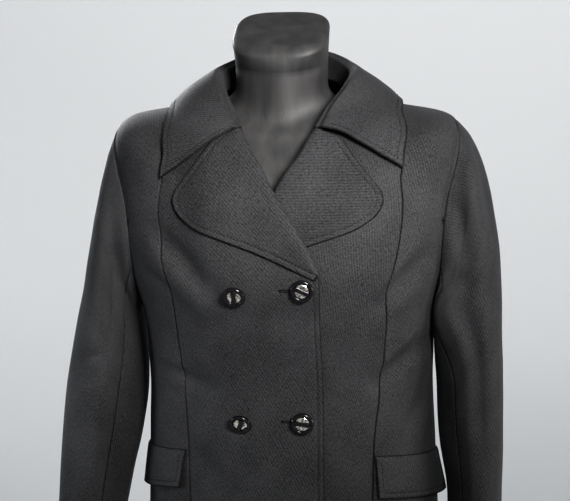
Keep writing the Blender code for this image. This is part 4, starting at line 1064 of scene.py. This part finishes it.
def seat_on_front(x, z, lift):
    """The place of a button on the upper front: its own Z along the cloth's normal."""
    place = spot(x, z)
    facing = outward(bare, place)
    seat = coat(place, overlap_lift(place) + lift)
    beside = unit(np.cross([0, 0, 1.0], facing))
    return standing(beside, np.cross(facing, beside), facing, seat)


for number, (x, z, slant, droop) in enumerate(BUTTONS, start=1):
    seat = seat_on_front(x, z, 0.0003 + 0.5 * BUTTON_RADIUS * math.sin(math.radians(droop)))
    seat = seat @ Matrix.Rotation(math.radians(droop), 4, "X")
    r = BUTTON_RADIUS
    rim_profile = [
        (0, 0.0), (0.0036, 0.0), (0.0040, 0.0016), *arc((r - 0.0012, 0.0031), 0.0012, -90, -20, 5),
        *arc((0.0114, 0.0047), 0.0026, 0, 130, 12), (0.0091, 0.0060), (0.0088, 0.0055), (0, 0.0055),
    ]
    button = turned(f"button_rim_{number}", rim_profile, 64, polished, place=seat)
    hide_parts(f"button_{number}")
    face_profile = [
        (0, 0.0056), (0.0084, 0.0056), (0.0086, 0.0058), (0.0080, 0.0062), (0.0060, 0.0065), (0.0030, 0.0067),
        (0, 0.0068),
    ]
    face = turned(f"button_disc_{number}", face_profile, 64, pale_metal, place=seat)
    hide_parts(f"button_face_{number}")
    # the bar: a half-round strip across the disc, its section carried from rim to rim
    v, angle = np.meshgrid(np.linspace(-1, 1, 25), np.linspace(0, 2 * math.pi, 17)[:-1], indexing="ij")
    half_width = 0.00275 * (1 + 0.20 * v**2) * np.sqrt(np.clip(1 - v**16, 0.05, 1))
    local = np.stack(
        [v * 0.0096, half_width * np.cos(angle), 0.0066 + 0.0012 * np.sin(angle) * (1 - 0.15 * v**2)], axis=-1
    )
    bar_points = moved(local.reshape(-1, 3), seat @ Matrix.Rotation(math.radians(slant), 4, "Z"))
    index = np.arange(v.size).reshape(v.shape)
    faces = [*bands(index, along=True), index[0], index[-1, ::-1]]
    piece(f"button_bar_{number}", bar_points, faces, polished)

# ---------------------------------------- the buttonholes
# Short worked buttonholes at the upper front's two right-hand buttons, mostly hidden by them: a slit between
# two rows of close thread, with a bar of thread at the end.
for number, (x, z, reach) in enumerate(((0.0170, 1.1955, 0.0125), (0.0130, 1.0262, 0.0115)), start=1):
    around = np.linspace(0, 2 * math.pi, 97)[:-1]
    long = reach * np.sign(np.cos(around)) * np.abs(np.cos(around)) ** 0.5
    high = 0.0011 * np.sign(np.sin(around)) * np.abs(np.sin(around)) ** 0.5
    spots = spot(x + long, z + high)
    ring = coat(spots, overlap_lift(spots) + 0.0002)
    facing = outward(bare, spots)
    beside = np.cross(facing, unit(np.roll(ring, -1, axis=0) - np.roll(ring, 1, axis=0)))
    loop_angle = np.linspace(0, 2 * math.pi, 9)[:-1]
    knots = 0.00078 * (1 + 0.18 * np.cos(48 * around))
    tube = (
        ring[:, None] + beside[:, None] * (knots[:, None] * np.cos(loop_angle))[..., None]
        + facing[:, None] * (0.8 * knots[:, None] * np.sin(loop_angle))[..., None]
    )
    index = np.arange(len(around) * 8).reshape(len(around), 8)
    down, right = np.roll(index, -1, axis=0), np.roll(index, -1, axis=1)
    faces = np.stack([index, down, np.roll(down, -1, axis=1), right], axis=-1).reshape(-1, 4)
    piece(f"buttonhole_{number}", tube, faces, thread)

# ---------------------------------------- floor, light, camera
# A round pale floor that curves up into a pale wall all round the stand, lit softly from above and, as a
# studio's walls are, a little by itself. The camera stands where the photograph was taken from.
AROUND_FLOOR = 96
bend = np.linspace(0, QUARTER, 24)
radius = np.concatenate([np.linspace(0.05, 4.9, 12), 5.0 + 3.0 * np.sin(bend), np.full(6, 8.0)])[:, None]
height = np.concatenate([np.zeros(12), 3.0 - 3.0 * np.cos(bend), np.linspace(3.4, 8.0, 6)])[:, None]
angle = np.linspace(0, 2 * math.pi, AROUND_FLOOR, endpoint=False)
points = np.stack([radius * np.cos(angle), radius * np.sin(angle), height + 0 * angle], axis=-1)
index = np.arange(radius.size * AROUND_FLOOR).reshape(-1, AROUND_FLOOR)
faces = [*bands(index, along=True), index[0]]
pale, bsdf = shader("pale_ground", Roughness=0.85, Specular_IOR_Level=0.2, Emission_Strength=0.13)
bsdf.inputs["Base Color"].default_value = bsdf.inputs["Emission Color"].default_value = (0.80, 0.81, 0.82, 1)
ground = added("ground", smooth_mesh("ground", points, faces, pale))
ground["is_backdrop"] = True


def soft_light(name, place, aim, size, watts, colour, spread):
    """A rectangular lamp, not seen itself, that faces aim; spread is its beam's width in degrees."""
    lamp = bpy.data.lights.new(name, "AREA")
    lamp.spread = math.radians(spread)
    lamp.shape, lamp.size, lamp.size_y, lamp.energy, lamp.color = "RECTANGLE", size[0], size[1], watts, colour
    made = added(name, lamp)
    made.location, made.visible_camera = place, False
    made.rotation_euler = (Vector(aim) - Vector(place)).to_track_quat("-Z", "Y").to_euler()


soft_light("window", (0.80, -1.52, 2.02), (0.01, -0.1, 1.38), (0.7, 0.45), 4.0, (1.0, 0.985, 0.97), 36)
soft_light("right_panel", (1.7, -0.10, 1.10), (0.25, 0.0, 1.05), (0.6, 0.6), 0.9, (1.0, 0.98, 0.96), 46)
soft_light("left_panel", (-1.6, -0.35, 1.10), (-0.28, 0.0, 1.02), (0.4, 0.3), 0.30, (0.93, 0.97, 1.0), 24)
soft_light("ceiling", (0.0, -0.6, 5.6), (0.0, -0.6, 0.0), (6.0, 6.0), 68.0, (0.97, 0.985, 1.0), 180)
soft_light("back_window", (-1.9, 2.7, 2.3), (0.0, 0.0, 1.15), (1.2, 0.8), 11.0, (0.97, 0.985, 1.0), 60)
soft_light("wall_light", (0.5, 3.4, 5.4), (-0.2, 8.0, 1.6), (5.0, 1.0), 48, (1.0, 0.985, 0.965), 120)
world = bpy.data.worlds.new("room")
world.use_nodes = True
world.node_tree.nodes["Background"].inputs["Color"].default_value = (0.80, 0.84, 0.90, 1)
world.node_tree.nodes["Background"].inputs["Strength"].default_value = 0.05
bpy.context.scene.world = world
bpy.context.scene.view_settings.view_transform = "Standard"
bpy.context.scene.view_settings.look = "High Contrast"

AZIMUTH, ELEVATION, ROLL = math.radians(6.7), math.radians(9.5), math.radians(-1.0)
AIM, AWAY = np.array([-0.006, 0, 1.217]), 2.2
PICTURE_WIDTH, FOCAL_LENGTH = 570, 1722    # both in pixels
level = math.cos(ELEVATION)
back_way = np.array([math.sin(AZIMUTH) * level, -math.cos(AZIMUTH) * level, math.sin(ELEVATION)])
right = unit(np.cross(-back_way, [0, 0, 1.0]))
over = np.cross(right, -back_way)
right, over = (
    math.cos(ROLL) * right + math.sin(ROLL) * over,
    -math.sin(ROLL) * right + math.cos(ROLL) * over,
)
lens = bpy.data.cameras.new("camera")
lens.sensor_width, lens.lens = 36.0, FOCAL_LENGTH / PICTURE_WIDTH * 36.0
camera = added("camera", lens)
camera.matrix_world = standing(right, over, back_way, AIM + AWAY * back_way)
bpy.context.scene.camera = camera

low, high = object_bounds()
